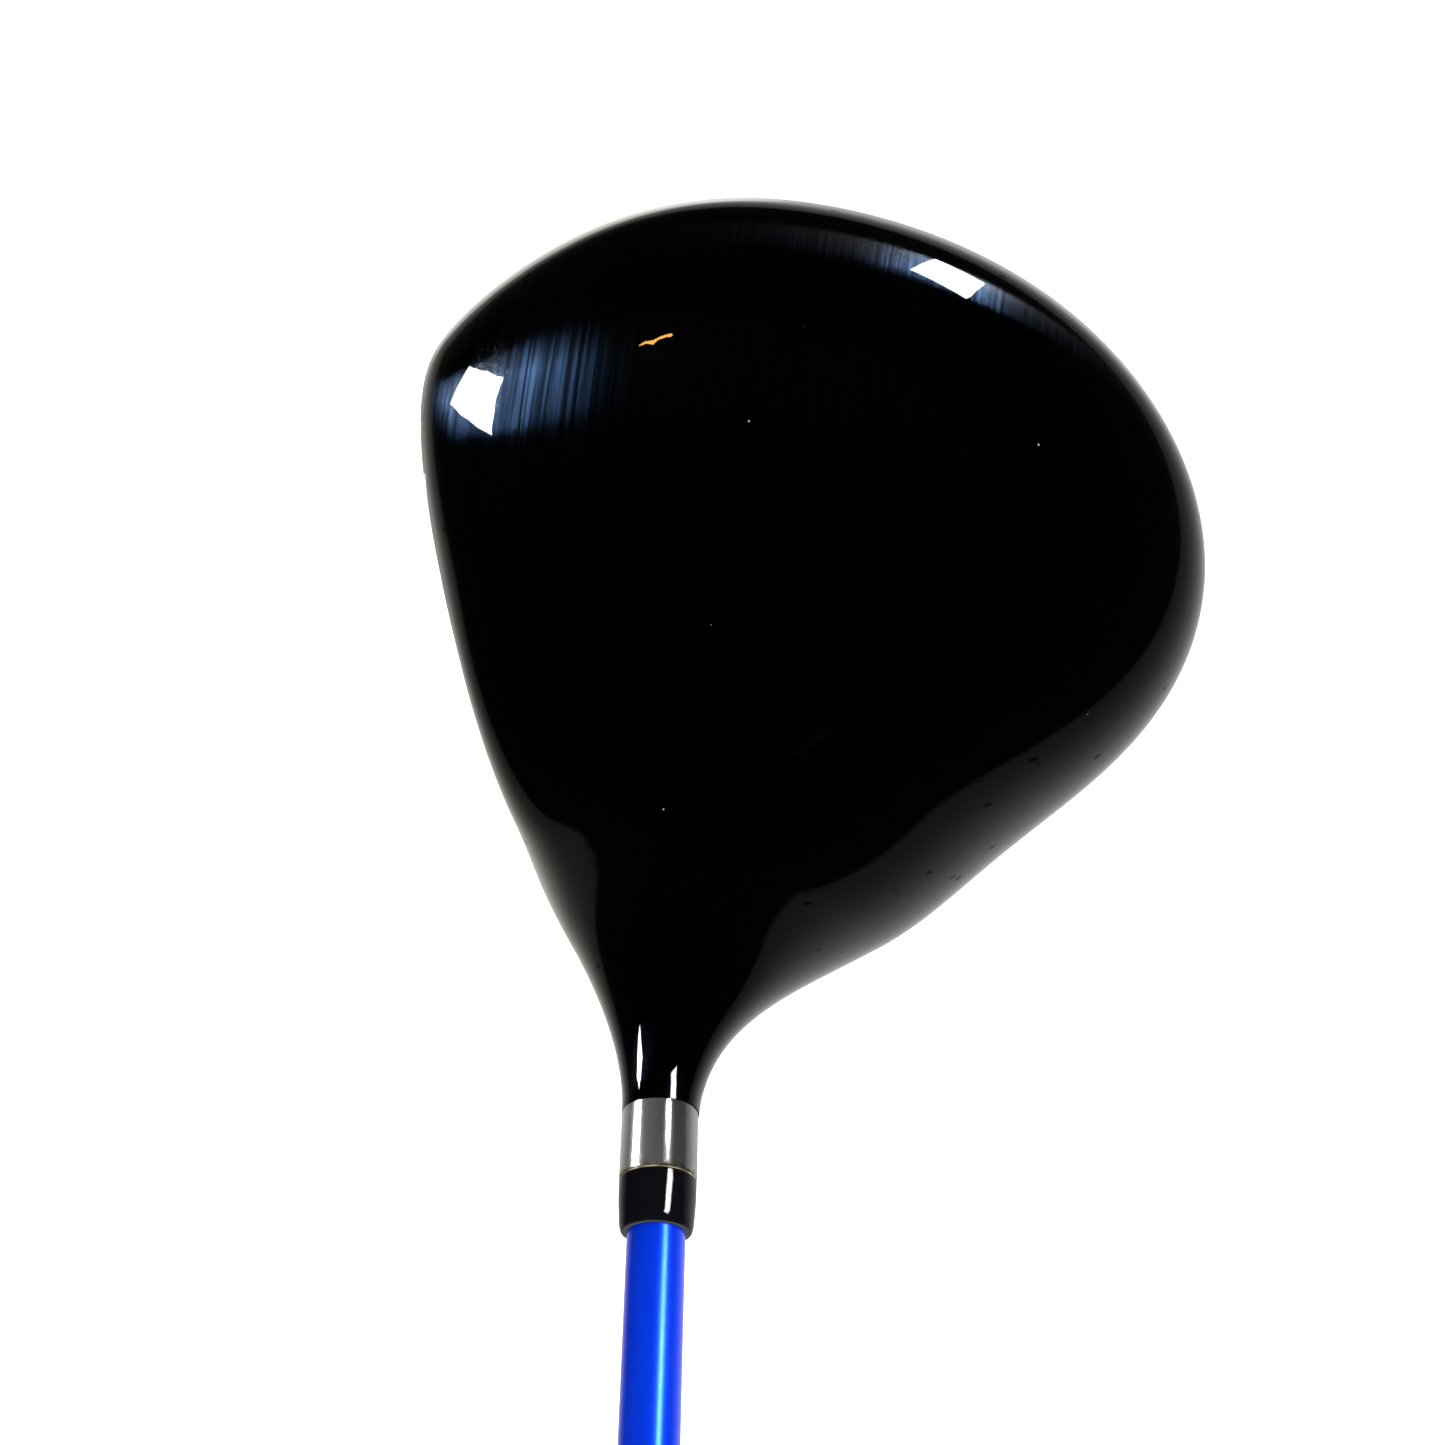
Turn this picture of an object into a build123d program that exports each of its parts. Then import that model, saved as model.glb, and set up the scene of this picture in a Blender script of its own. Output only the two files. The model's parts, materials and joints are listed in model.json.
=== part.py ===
from build123d import *
import math
import os

# Golf driver, right-handed, in its address pose. Millimetres.
# +Z is up, the face looks along -Y, the toe lies at -X and the shaft rises over the heel at +X.
# The origin is the lowest point of the sole, at the centre of its flat badge.

# ---- driving dimensions -------------------------------------------------------------------------

LIE_ANGLE = 58.0                # shaft to ground, degrees
LOFT_ANGLE = 10.5               # face to vertical, degrees
SHAFT_GROUND_X = 39.7           # where the shaft's axis meets the ground
SHAFT_GROUND_Y = -18.8

# head: plan outline as radii every 30 degrees, from the heel (+X) round by the back (+Y)
PLAN_RADII = (67.5, 64.0, 70.0, 74.0, 66.0, 58.5, 55.0, 53.0, 50.5, 51.0, 59.5, 59.5)
SKIRT_HEIGHT = 30.9             # height of the widest line
CROWN_RISE = 25.7               # crown above the widest line
CROWN_POWER = 2.38              # how full the crown is towards its edge
SOLE_POWER = 3.0                # how flat the sole is
SOLE_HEIGHT_POWER = 2.2         # how upright the skirt stands
SOLE_ROOT = 2.4
FIELD_SCALE = 40.0              # turns the body's unitless field into roughly millimetres

FACE_Y = -40.0                  # face centre
FACE_HEIGHT = 28.0
FACE_RADIUS = 300.0             # bulge and roll
FACE_EDGE = 6.0                 # how softly the face meets crown and sole
FACE_NORMAL_Y = -math.cos(math.radians(LOFT_ANGLE))
FACE_NORMAL_Z = math.sin(math.radians(LOFT_ANGLE))

SKIN_WALL = 0.9                 # titanium skin of crown, skirt and sole
FACE_WALL = 3.0                 # face thickness
WALL_TAPER = 9.0                # the wall grows from skin to face over this depth behind the face

# hosel, ferrule and shaft: distances are along the shaft's axis, from the ground
HOSEL_TOP = 80.0
RING_LENGTH = 11.0              # bare metal above the paint
RING_RADIUS = 6.0
NECK_FLARE = 0.039              # growth of the neck's radius per millimetre, going down
NECK_FLARE_TOP = 66.0
NECK_BLEND = 28.3               # how wide the neck flows into the crown
NECK_FOOT = 28.0                # lower end of the neck's own cylinder
TUBE_RADIUS = 5.3               # hosel tube below the ring
TUBE_BORE_RADIUS = 4.55
TUBE_FOOT = 14.0
COLLAR_RADIUS = 7.3             # socket in the sole that holds the tube's foot
COLLAR_TOP = 20.0
STOP_TOP = 41.0                 # plug under the shaft
STOP_LENGTH = 4.0
SHAFT_TIP = 42.0
FERRULE_LENGTH = 8.2
BOND_BEAD = 0.15                # glue squeezed out between ring and ferrule

TIP_RADIUS = 4.42
TIP_PARALLEL = 76.0             # untapered length at the tip
BUTT_RADIUS = 7.62
BUTT_TAPER_START = 880.0        # from here up the shaft is straight
SHAFT_BUTT = 1152.0
TIP_WALL = 1.45
BUTT_WALL = 0.9
TIP_WEIGHT_LENGTH = 24.0

GRIP_MOUTH = 884.0
GRIP_MOUTH_RADIUS = 8.9
GRIP_MOUTH_EDGE = 0.6           # chamfer at the mouth
GRIP_BUTT_RADIUS = 13.4
GRIP_SWELL = 0.9                # share of the growth reached before the flare under the cap
GRIP_SWELL_POWER = 0.85
TAPE_THICKNESS = 0.2
TAPE_SETBACK = 4.0              # the tape starts this far inside the mouth
CAP_RADIUS = 14.2
CAP_THICKNESS = 3.6
CAP_DOME = 1.6
VENT_RADIUS = 1.5

# sole furniture
BADGE_RADIUS = 14.0
BADGE_THICKNESS = 0.9
BADGE_BOSS_RADIUS = 17.0
BADGE_BOSS_HEIGHT = 2.2
WEIGHT_Y = 56.0                 # centre of the rear weight, on the sole's skin
WEIGHT_Z = 7.0
WEIGHT_TILT = 24.0              # its axis leans back from straight down, degrees
WEIGHT_RADIUS = 8.0
WEIGHT_DEPTH = 6.5
SCREW_HEAD_RADIUS = 4.6
SCREW_SHANK_RADIUS = 2.5
SCREW_SOCKET = 4.0

# face furniture
LINE_PITCH = 3.8
LINE_REACH = 0.86               # share of the insert's width that a line reaches
LINE_GAP = 13.0                 # half of the plain middle
LINE_GAP_OUTER = 5.0            # the same for the highest and lowest lines
LINE_DEPTH = 0.3
LINE_WIDTH = 0.8
LINE_COUNT = 9
INSERT_HALF_LENGTH = 46.0
INSERT_HALF_HEIGHT = 20.0

POINTS_PER_SECTION = 72
BISECTIONS = 18

os.makedirs("parts", exist_ok=True)

# ---- the head's shape as a field: negative inside, zero on the surface -----------------------------

LIE = math.radians(LIE_ANGLE)
AXIS = Vector(math.cos(LIE), 0, math.sin(LIE))
GROUND = Vector(SHAFT_GROUND_X, SHAFT_GROUND_Y, 0)
HARMONICS = len(PLAN_RADII) // 2


def plan_harmonic(order):
    """Cosine and sine weights of one harmonic of the plan outline."""
    count = len(PLAN_RADII)
    cosine = sum(r * math.cos(order * 2 * math.pi * i / count) for i, r in enumerate(PLAN_RADII))
    sine = sum(r * math.sin(order * 2 * math.pi * i / count) for i, r in enumerate(PLAN_RADII))
    share = 1 if order in (0, HARMONICS) else 2
    return cosine * share / count, sine * share / count


PLAN_WEIGHTS = [plan_harmonic(order) for order in range(HARMONICS + 1)]


def plan_radius(angle):
    """Radius of the head's widest outline in the direction angle."""
    radius = 0
    for order, (cosine, sine) in enumerate(PLAN_WEIGHTS):
        radius += cosine * math.cos(order * angle) + sine * math.sin(order * angle)
    return radius


def soft_min(a, b, width):
    """The smaller of two fields, rounded where they cross."""
    share = max(width - abs(a - b), 0) / width
    return min(a, b) - share * share * width / 4


def soft_max(a, b, width):
    return -soft_min(-a, -b, width)


def face_field(point):
    """Distance in front of the bulged, rolled and lofted face."""
    rise = point.Z - FACE_HEIGHT
    sweep = point.X**2 / (2 * FACE_RADIUS) + rise**2 / (2 * FACE_RADIUS)
    surface_y = FACE_Y + rise * math.tan(math.radians(LOFT_ANGLE)) + sweep
    return (surface_y - point.Y) * math.cos(math.radians(LOFT_ANGLE))


def body_field(point):
    """The head without its neck."""
    spread = math.hypot(point.X, point.Y) / plan_radius(math.atan2(point.Y, point.X))
    height = point.Z - SKIRT_HEIGHT
    if height > 0:
        gauge = (spread**CROWN_POWER + (height / CROWN_RISE) ** 2) ** 0.5 - 1
    else:
        depth = (-height / SKIRT_HEIGHT) ** SOLE_HEIGHT_POWER
        gauge = (spread**SOLE_POWER + depth) ** (1 / SOLE_ROOT) - 1
    return soft_max(FIELD_SCALE * gauge, face_field(point), FACE_EDGE)


def neck_field(point):
    """The neck round the shaft's axis."""
    along = (point - GROUND).dot(AXIS)
    off_axis = (point - GROUND - AXIS * along).length
    radius = RING_RADIUS + max(0, NECK_FLARE_TOP - along) * NECK_FLARE
    return max(off_axis - radius, along - HOSEL_TOP, NECK_FOOT - along)


def head_field(point):
    return soft_min(body_field(point), neck_field(point), NECK_BLEND)


def skin_depth(point, face_wall):
    """Signed distance to the head's surface, less the wall wanted there."""
    step = 0.2
    slope = Vector(
        head_field(point + Vector(step, 0, 0)) - head_field(point - Vector(step, 0, 0)),
        head_field(point + Vector(0, step, 0)) - head_field(point - Vector(0, step, 0)),
        head_field(point + Vector(0, 0, step)) - head_field(point - Vector(0, 0, step)),
    ).length / (2 * step)
    near_face = min(max(1 + face_field(point) / WALL_TAPER, 0), 1)
    wall = SKIN_WALL + (face_wall - SKIN_WALL) * near_face
    return head_field(point) / slope + wall


# ---- sections of the head: planes that fan round a pivot above the crown, then march to the toe ----

PIVOT_LEVEL = 60.0              # where the neck ends and the fan begins
CENTRE_DEPTH_NECK = 32.0        # from pivot to the section's centre, at the neck
CENTRE_DEPTH_BODY = 40.0        # and where the planes stand upright
CENTRE_Y_BODY = 8.0
PIVOT = GROUND + AXIS * PIVOT_LEVEL + Vector(-math.sin(LIE), 0, math.cos(LIE)) * CENTRE_DEPTH_NECK


def reach(field, centre, direction):
    """Distance from centre to the surface, found by bisection."""
    inside = 0.0
    outside = 4.0
    while field(centre + direction * outside) < 0:
        inside = outside
        outside += 4.0
    for _ in range(BISECTIONS):
        middle = (inside + outside) / 2
        if field(centre + direction * middle) < 0:
            inside = middle
        else:
            outside = middle
    return inside


def section(field, centre, up):
    """Closed spline where a plane through centre, holding Y and up, cuts the field."""
    points = []
    for index in range(POINTS_PER_SECTION):
        angle = 2 * math.pi * index / POINTS_PER_SECTION - math.pi / 2
        direction = Vector(0, math.cos(angle), 0) + up * math.sin(angle)
        points.append(centre + direction * reach(field, centre, direction))
    steps = [index / POINTS_PER_SECTION for index in range(POINTS_PER_SECTION + 1)]
    return Wire([Edge.make_spline(points, periodic=True, parameters=steps)])


def fan_plane(turn):
    """Centre and up direction of the fan's plane: turn 0 crosses the neck, turn 1 stands upright."""
    swing = (1 - turn) * LIE
    up = Vector(-math.sin(swing), 0, math.cos(swing))
    ease = turn * turn * (3 - 2 * turn)
    depth = CENTRE_DEPTH_NECK + (CENTRE_DEPTH_BODY - CENTRE_DEPTH_NECK) * ease
    centre = PIVOT - up * depth
    centre.Y = SHAFT_GROUND_Y + (CENTRE_Y_BODY - SHAFT_GROUND_Y) * ease
    return centre, up


TOE_Y = 8.0
NECK_SECTIONS = 3
FAN_SECTIONS = 14
FAN_SPLIT = 5
TOE_SECTIONS = 15


def closed_loft(rings):
    """Solid through the rings, with its faces turned outwards."""
    return Solid(Solid.make_loft(rings).shell())


def head_solid(field, first_turn, neck_top):
    """The field as two lofts that meet part of the way round the fan."""
    neck_side = []
    if neck_top:
        for step in range(NECK_SECTIONS):
            level = neck_top + (PIVOT_LEVEL - neck_top) * step / NECK_SECTIONS
            neck_side.append(section(field, GROUND + AXIS * level, fan_plane(0)[1]))
    else:
        neck_side.append(Vertex(*fan_plane(0)[0]))
    fan = []
    for step in range(FAN_SECTIONS + 1):
        turn = first_turn + (1 - first_turn) * step / FAN_SECTIONS
        fan.append(section(field, *fan_plane(turn)))

    toe_start = Vector(0, TOE_Y, SKIRT_HEIGHT)
    toe = toe_start - Vector(reach(field, toe_start, Vector(-1, 0, 0)), 0, 0)
    heel_centre = fan_plane(1)[0]
    toe_side = []
    for step in range(1, TOE_SECTIONS):
        share = 1 - math.cos((1 - step / TOE_SECTIONS) * math.pi / 2)
        toe_side.append(section(field, toe + (heel_centre - toe) * share, Vector(0, 0, 1)))
    toe_side.append(Vertex(*toe))
    neck_loft = closed_loft(neck_side + fan[: FAN_SPLIT + 1])
    return neck_loft + closed_loft(fan[FAN_SPLIT:] + toe_side)


# ---- helpers ------------------------------------------------------------------------------------

SHAFT_PLANE = Plane(origin=tuple(GROUND), x_dir=(0, 1, 0), z_dir=tuple(AXIS))
FACE_AXIS = Vector(0, FACE_NORMAL_Y, FACE_NORMAL_Z)
FACE_CENTRE = Vector(0, FACE_Y, FACE_HEIGHT)
FACE_PLANE = Plane(origin=tuple(FACE_CENTRE), x_dir=(1, 0, 0), z_dir=tuple(FACE_AXIS))
FACE_SPHERE_CENTRE = FACE_CENTRE - FACE_AXIS * FACE_RADIUS
HEAD_SPAN = 260.0               # larger than the head, for cutting blocks

parts = {}


def turned(profile):
    """Solid of revolution on the shaft's axis from (radius, distance from the ground) corners."""
    outline = Polyline([(radius, 0, along) for radius, along in profile], close=True)
    return SHAFT_PLANE * revolve(make_face(outline), Axis.Z)


def sleeve(inner, outer, foot, top):
    """Plain tube, or rod where inner is zero, on the shaft's axis."""
    return turned([(inner, foot), (outer, foot), (outer, top), (inner, top)])


def one_solid(shape):
    """The largest solid of a boolean result."""
    return max(shape.solids(), key=lambda solid: solid.volume)


def behind_face(depth):
    """Everything more than depth behind the bulged face."""
    return Pos(*FACE_SPHERE_CENTRE) * Sphere(FACE_RADIUS - depth)


# ---- head shells --------------------------------------------------------------------------------

SEAM_HEIGHT = SKIRT_HEIGHT + 1.0
SEAM_BEHIND_FACE = 9.0
SEAM_ROUND_NECK = 18.0
INSERT_DEPTH = 12.0
CAVITY_FIRST_TURN = 0.12        # where on the fan the cavity begins, just below the neck
NECK_ZONE_FOOT = 20.0

outer = head_solid(head_field, 0.0, HOSEL_TOP - RING_LENGTH)
cavity = head_solid(lambda point: skin_depth(point, FACE_WALL), CAVITY_FIRST_TURN, None)
shell = outer - cavity

upper_block = Pos(0, 0, SEAM_HEIGHT + HEAD_SPAN / 2) * Box(HEAD_SPAN, HEAD_SPAN, HEAD_SPAN)
neck_zone = sleeve(0, SEAM_ROUND_NECK, NECK_ZONE_FOOT, HOSEL_TOP)
crown_zone = upper_block & behind_face(SEAM_BEHIND_FACE)
crown_zone = crown_zone - neck_zone
crown = one_solid(shell & crown_zone)

insert_outline = FACE_PLANE * Ellipse(INSERT_HALF_LENGTH, INSERT_HALF_HEIGHT)
insert_prism = extrude(insert_outline, INSERT_DEPTH, both=True)
face_plate = one_solid(shell & insert_prism)
body = one_solid(shell - crown_zone - insert_prism)

# ---- hosel: tube, plug, bond, ferrule -----------------------------------------------------------

RING_FOOT = HOSEL_TOP - RING_LENGTH
RING_EDGE = 0.35
FERRULE_FOOT = HOSEL_TOP + BOND_BEAD
FERRULE_TOP = FERRULE_FOOT + FERRULE_LENGTH
FERRULE_WAIST = 0.45 * FERRULE_LENGTH
FERRULE_WAIST_RADIUS = RING_RADIUS - 0.1
FERRULE_LIP_RADIUS = 5.35
FERRULE_LIP = 0.7
FERRULE_LIP_SWELL = 0.25

tube_hole = sleeve(0, TUBE_RADIUS, TUBE_FOOT, HOSEL_TOP)
parts["hosel_tube"] = turned([
    (TUBE_BORE_RADIUS, TUBE_FOOT),
    (TUBE_RADIUS, TUBE_FOOT),
    (TUBE_RADIUS, RING_FOOT),
    (RING_RADIUS, RING_FOOT),
    (RING_RADIUS, HOSEL_TOP - RING_EDGE),
    (RING_RADIUS - RING_EDGE, HOSEL_TOP),
    (TUBE_BORE_RADIUS, HOSEL_TOP),
])
parts["hosel_stop"] = sleeve(0, TUBE_BORE_RADIUS, STOP_TOP - STOP_LENGTH, STOP_TOP)
parts["hosel_epoxy"] = turned([
    (0, STOP_TOP),
    (TUBE_BORE_RADIUS, STOP_TOP),
    (TUBE_BORE_RADIUS, HOSEL_TOP),
    (RING_RADIUS - RING_EDGE, HOSEL_TOP),
    (RING_RADIUS - RING_EDGE, FERRULE_FOOT),
    (TIP_RADIUS, FERRULE_FOOT),
    (TIP_RADIUS, SHAFT_TIP),
    (0, SHAFT_TIP),
])
parts["ferrule"] = turned([
    (TIP_RADIUS, FERRULE_FOOT),
    (RING_RADIUS, FERRULE_FOOT),
    (FERRULE_WAIST_RADIUS, FERRULE_FOOT + FERRULE_WAIST),
    (FERRULE_LIP_RADIUS + FERRULE_LIP_SWELL, FERRULE_TOP - 2 * FERRULE_LIP),
    (FERRULE_LIP_RADIUS, FERRULE_TOP - FERRULE_LIP / 2),
    (FERRULE_LIP_RADIUS - FERRULE_LIP / 2, FERRULE_TOP),
    (TIP_RADIUS, FERRULE_TOP),
])

# ---- shaft --------------------------------------------------------------------------------------

TIP_BORE = TIP_RADIUS - TIP_WALL
BUTT_BORE = BUTT_RADIUS - BUTT_WALL
parts["shaft"] = turned([
    (TIP_BORE, SHAFT_TIP),
    (TIP_RADIUS, SHAFT_TIP),
    (TIP_RADIUS, SHAFT_TIP + TIP_PARALLEL),
    (BUTT_RADIUS, BUTT_TAPER_START),
    (BUTT_RADIUS, SHAFT_BUTT),
    (BUTT_BORE, SHAFT_BUTT),
    (BUTT_BORE, BUTT_TAPER_START),
    (TIP_BORE, SHAFT_TIP + TIP_PARALLEL),
])
parts["tip_weight"] = sleeve(0, TIP_BORE, SHAFT_TIP, SHAFT_TIP + TIP_WEIGHT_LENGTH)

# ---- grip ---------------------------------------------------------------------------------------

TAPE_RADIUS = BUTT_RADIUS + TAPE_THICKNESS
TAPE_FOOT = GRIP_MOUTH + TAPE_SETBACK
parts["grip_tape"] = sleeve(BUTT_RADIUS, TAPE_RADIUS, TAPE_FOOT, SHAFT_BUTT)

GRIP_SPAN = SHAFT_BUTT - GRIP_MOUTH
GRIP_GROWTH = GRIP_SWELL * (GRIP_BUTT_RADIUS - GRIP_MOUTH_RADIUS)


def grip_corner(share):
    """Radius and place of the grip's outside, where share runs from the mouth to the cap."""
    return GRIP_MOUTH_RADIUS + GRIP_GROWTH * share**GRIP_SWELL_POWER, GRIP_MOUTH + share * GRIP_SPAN


grip_profile = [grip_corner(share) for share in (0.03, 0.2, 0.4, 0.6, 0.8, 0.93)]
grip_outside = Spline([(radius, 0, along) for radius, along in grip_profile])
grip_rest = Polyline([
    (grip_profile[-1][0], 0, grip_profile[-1][1]),
    (GRIP_BUTT_RADIUS, 0, SHAFT_BUTT),
    (TAPE_RADIUS, 0, SHAFT_BUTT),
    (TAPE_RADIUS, 0, TAPE_FOOT),
    (BUTT_RADIUS, 0, TAPE_FOOT),
    (BUTT_RADIUS, 0, GRIP_MOUTH),
    (GRIP_MOUTH_RADIUS - GRIP_MOUTH_EDGE, 0, GRIP_MOUTH),
    (grip_profile[0][0], 0, grip_profile[0][1]),
])
parts["grip"] = SHAFT_PLANE * revolve(make_face(grip_outside + grip_rest), Axis.Z)

CAP_TOP = SHAFT_BUTT + CAP_THICKNESS
CAP_EDGE = 1.0
CAP_SHOULDER = 0.55 * CAP_RADIUS
CAP_SHOULDER_RISE = 0.75 * CAP_DOME
cap = turned([
    (0, SHAFT_BUTT),
    (CAP_RADIUS - CAP_EDGE, SHAFT_BUTT),
    (CAP_RADIUS, SHAFT_BUTT + CAP_EDGE),
    (CAP_RADIUS, CAP_TOP - CAP_EDGE),
    (CAP_RADIUS - CAP_EDGE, CAP_TOP),
    (CAP_SHOULDER, CAP_TOP + CAP_SHOULDER_RISE),
    (0, CAP_TOP + CAP_DOME),
])
parts["grip_cap"] = cap - sleeve(0, VENT_RADIUS, SHAFT_BUTT - 1, CAP_TOP + CAP_DOME + 1)

# ---- sole: badge, rear weight, ribs, damping compound ---------------------------------------------

badge = Pos(0, 0, BADGE_THICKNESS / 2) * Cylinder(BADGE_RADIUS, BADGE_THICKNESS)
badge_boss = Pos(0, 0, BADGE_BOSS_HEIGHT / 2) * Cylinder(BADGE_BOSS_RADIUS, BADGE_BOSS_HEIGHT)
parts["sole_badge"] = badge

tilt = math.radians(WEIGHT_TILT)
weight_plane = Plane(
    origin=(0, WEIGHT_Y, WEIGHT_Z),
    x_dir=(1, 0, 0),
    z_dir=(0, math.sin(tilt), -math.cos(tilt)),
)
WEIGHT_SINK = 0.4               # the cartridge sits this far below the skin
WASHER_THICKNESS = 0.8
WEIGHT_BOSS_WALL = 2.0
WEIGHT_BOSS_FLOOR = 6.0
SOCKET_DEPTH = 2.4
SCREW_HEAD_HEIGHT = 3.4
PAST_SKIN = -6.0                # cuts for the pocket run this far outside the skin
OVERLAP = 1.0                   # cutters run this far past what they cut


def weight_rod(radius, bottom, top):
    """Cylinder on the weight's axis between two depths below the skin."""
    return weight_plane * Pos(0, 0, -(bottom + top) / 2) * Cylinder(radius, bottom - top)


pocket_floor = WEIGHT_SINK + WEIGHT_DEPTH + WASHER_THICKNESS
boss_floor = pocket_floor + WEIGHT_BOSS_FLOOR
shank_end = boss_floor - 1.0
weight_boss = weight_rod(WEIGHT_RADIUS + WEIGHT_BOSS_WALL, boss_floor, PAST_SKIN)
weight_pocket = weight_rod(WEIGHT_RADIUS, pocket_floor, PAST_SKIN)
screw_hole = weight_rod(SCREW_SHANK_RADIUS, shank_end, pocket_floor - OVERLAP)
head_floor = WEIGHT_SINK + SCREW_HEAD_HEIGHT
parts["rear_weight"] = (
    weight_rod(WEIGHT_RADIUS, WEIGHT_SINK + WEIGHT_DEPTH, WEIGHT_SINK)
    - weight_rod(SCREW_HEAD_RADIUS, head_floor, -OVERLAP)
    - weight_rod(SCREW_SHANK_RADIUS, pocket_floor, -OVERLAP)
)
washer_disc = weight_rod(WEIGHT_RADIUS, pocket_floor, WEIGHT_SINK + WEIGHT_DEPTH)
washer_hole = weight_rod(SCREW_SHANK_RADIUS, pocket_floor + OVERLAP, -OVERLAP)
parts["weight_washer"] = washer_disc - washer_hole
socket = extrude(weight_plane * RegularPolygon(SCREW_SOCKET / 2, 6), -(WEIGHT_SINK + SOCKET_DEPTH))
parts["weight_screw"] = (
    weight_rod(SCREW_HEAD_RADIUS, head_floor, WEIGHT_SINK)
    + weight_rod(SCREW_SHANK_RADIUS, shank_end, head_floor - OVERLAP)
    - socket
)

RIB_WIDTH = 1.2
RIB_HEIGHT = 7.5
RIB_PLACES = (-30.0, 26.0)
RIB_LENGTH = 70.0
RIB_MIDDLE = 14.0
COLLAR_FOOT = 4.0
ribs = [Pos(x, RIB_MIDDLE, RIB_HEIGHT / 2) * Box(RIB_WIDTH, RIB_LENGTH, RIB_HEIGHT) for x in RIB_PLACES]
collar = sleeve(0, COLLAR_RADIUS, COLLAR_FOOT, COLLAR_TOP)
inside_pieces = badge_boss + weight_boss + collar + ribs
body = body + (inside_pieces & outer)
body = body - tube_hole - badge - weight_pocket - screw_hole
parts["head_body"] = one_solid(body)

COMPOUND_RADIUS = 19.0
COMPOUND_LEVEL = 4.2
COMPOUND_X = -20.0
COMPOUND_Y = 34.0
compound_place = Pos(COMPOUND_X, COMPOUND_Y, COMPOUND_LEVEL / 2)
compound = compound_place * Cylinder(COMPOUND_RADIUS, COMPOUND_LEVEL)
compound = (compound & cavity) - ribs[0] - badge_boss - weight_boss
parts["damping_compound"] = one_solid(compound)

# ---- crown and its mark ---------------------------------------------------------------------------

MARK_X = -40.2
MARK_Y = 4.5
MARK_LENGTH = 5.0
MARK_WIDTH = 1.5
MARK_DEPTH = 0.2
MARK_HEIGHT = 50.0
MARK_CUT = 16.0
mark_prism = Pos(MARK_X, MARK_Y, MARK_HEIGHT) * Box(MARK_WIDTH, MARK_LENGTH, MARK_CUT)
mark = (crown & mark_prism) - crown.moved(Pos(0, 0, -MARK_DEPTH))
parts["alignment_mark"] = one_solid(mark)
parts["crown"] = one_solid(crown - tube_hole - mark)

# ---- face plate and score lines ---------------------------------------------------------------------

lines = []
for index in range(LINE_COUNT):
    height = (index - (LINE_COUNT - 1) / 2) * LINE_PITCH
    reach_x = LINE_REACH * INSERT_HALF_LENGTH * math.sqrt(1 - (height / INSERT_HALF_HEIGHT) ** 2)
    is_outer = index in (0, LINE_COUNT - 1)
    gap = LINE_GAP_OUTER if is_outer else LINE_GAP
    for side in (-1, 1):
        middle = side * (reach_x + gap) / 2
        block = Pos(middle, height, 0) * Box(reach_x - gap, LINE_WIDTH, 2 * INSERT_DEPTH)
        lines.append(FACE_PLANE * block)
line_blocks = lines[0]
for block in lines[1:]:
    line_blocks = line_blocks + block
grooves = (face_plate & line_blocks) - face_plate.moved(Pos(*(FACE_AXIS * -LINE_DEPTH)))
parts["face_plate"] = one_solid(face_plate - grooves)
parts["score_line_paint"] = grooves

for name, part in parts.items():
    export_step(part, f"parts/{name}.step")
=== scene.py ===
import json
import math

import bpy
import numpy as np
from mathutils import Matrix, Vector


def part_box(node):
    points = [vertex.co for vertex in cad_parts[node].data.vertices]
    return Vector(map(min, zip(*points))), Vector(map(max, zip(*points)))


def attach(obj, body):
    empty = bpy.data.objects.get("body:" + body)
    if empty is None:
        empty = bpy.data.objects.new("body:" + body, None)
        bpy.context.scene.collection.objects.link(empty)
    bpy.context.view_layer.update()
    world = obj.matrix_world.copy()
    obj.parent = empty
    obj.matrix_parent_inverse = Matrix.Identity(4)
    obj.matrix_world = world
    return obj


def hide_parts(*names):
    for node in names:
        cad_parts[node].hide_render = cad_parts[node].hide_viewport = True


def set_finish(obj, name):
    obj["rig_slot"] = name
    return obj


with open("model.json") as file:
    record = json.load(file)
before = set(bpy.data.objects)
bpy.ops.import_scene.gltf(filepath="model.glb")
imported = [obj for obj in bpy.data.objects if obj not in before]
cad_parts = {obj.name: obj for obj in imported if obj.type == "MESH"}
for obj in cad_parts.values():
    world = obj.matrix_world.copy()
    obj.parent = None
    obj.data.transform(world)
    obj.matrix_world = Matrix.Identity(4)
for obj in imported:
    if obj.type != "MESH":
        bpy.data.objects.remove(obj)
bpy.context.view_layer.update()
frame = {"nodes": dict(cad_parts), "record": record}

# A golf driver in its address pose: Z up, the face looks along -Y, the toe lies at -X and the shaft
# rises over the heel. Shapes are worked out in millimetres and stored in metres.

MM = 0.001


def grown(corners):
    """Lowest and highest corner of a box, in millimetres."""
    low, high = corners
    return np.array(low) / MM, np.array(high) / MM


# ---- places taken from the frame -----------------------------------------------------------------

RIGHT_ANGLE = math.pi / 2
LIE = math.radians(58.0)
LOFT = math.radians(10.5)
AXIS = np.array([math.cos(LIE), 0, math.sin(LIE)])
vent = next(mount for mount in frame["record"]["mounts"] if mount["name"] == "butt_vent")
face_mount = next(mount for mount in frame["record"]["mounts"] if mount["name"] == "face_centre")
VENT_POINT = np.array(vent["pos_m"]) / MM
GROUND = VENT_POINT - AXIS * (VENT_POINT[2] / AXIS[2])
FACE_CENTRE = np.array(face_mount["pos_m"]) / MM
FACE_AXIS = np.array([0, -math.cos(LOFT), math.sin(LOFT)])


# ---- the head's shape as a field: negative inside, zero on the surface ---------------------------

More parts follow.
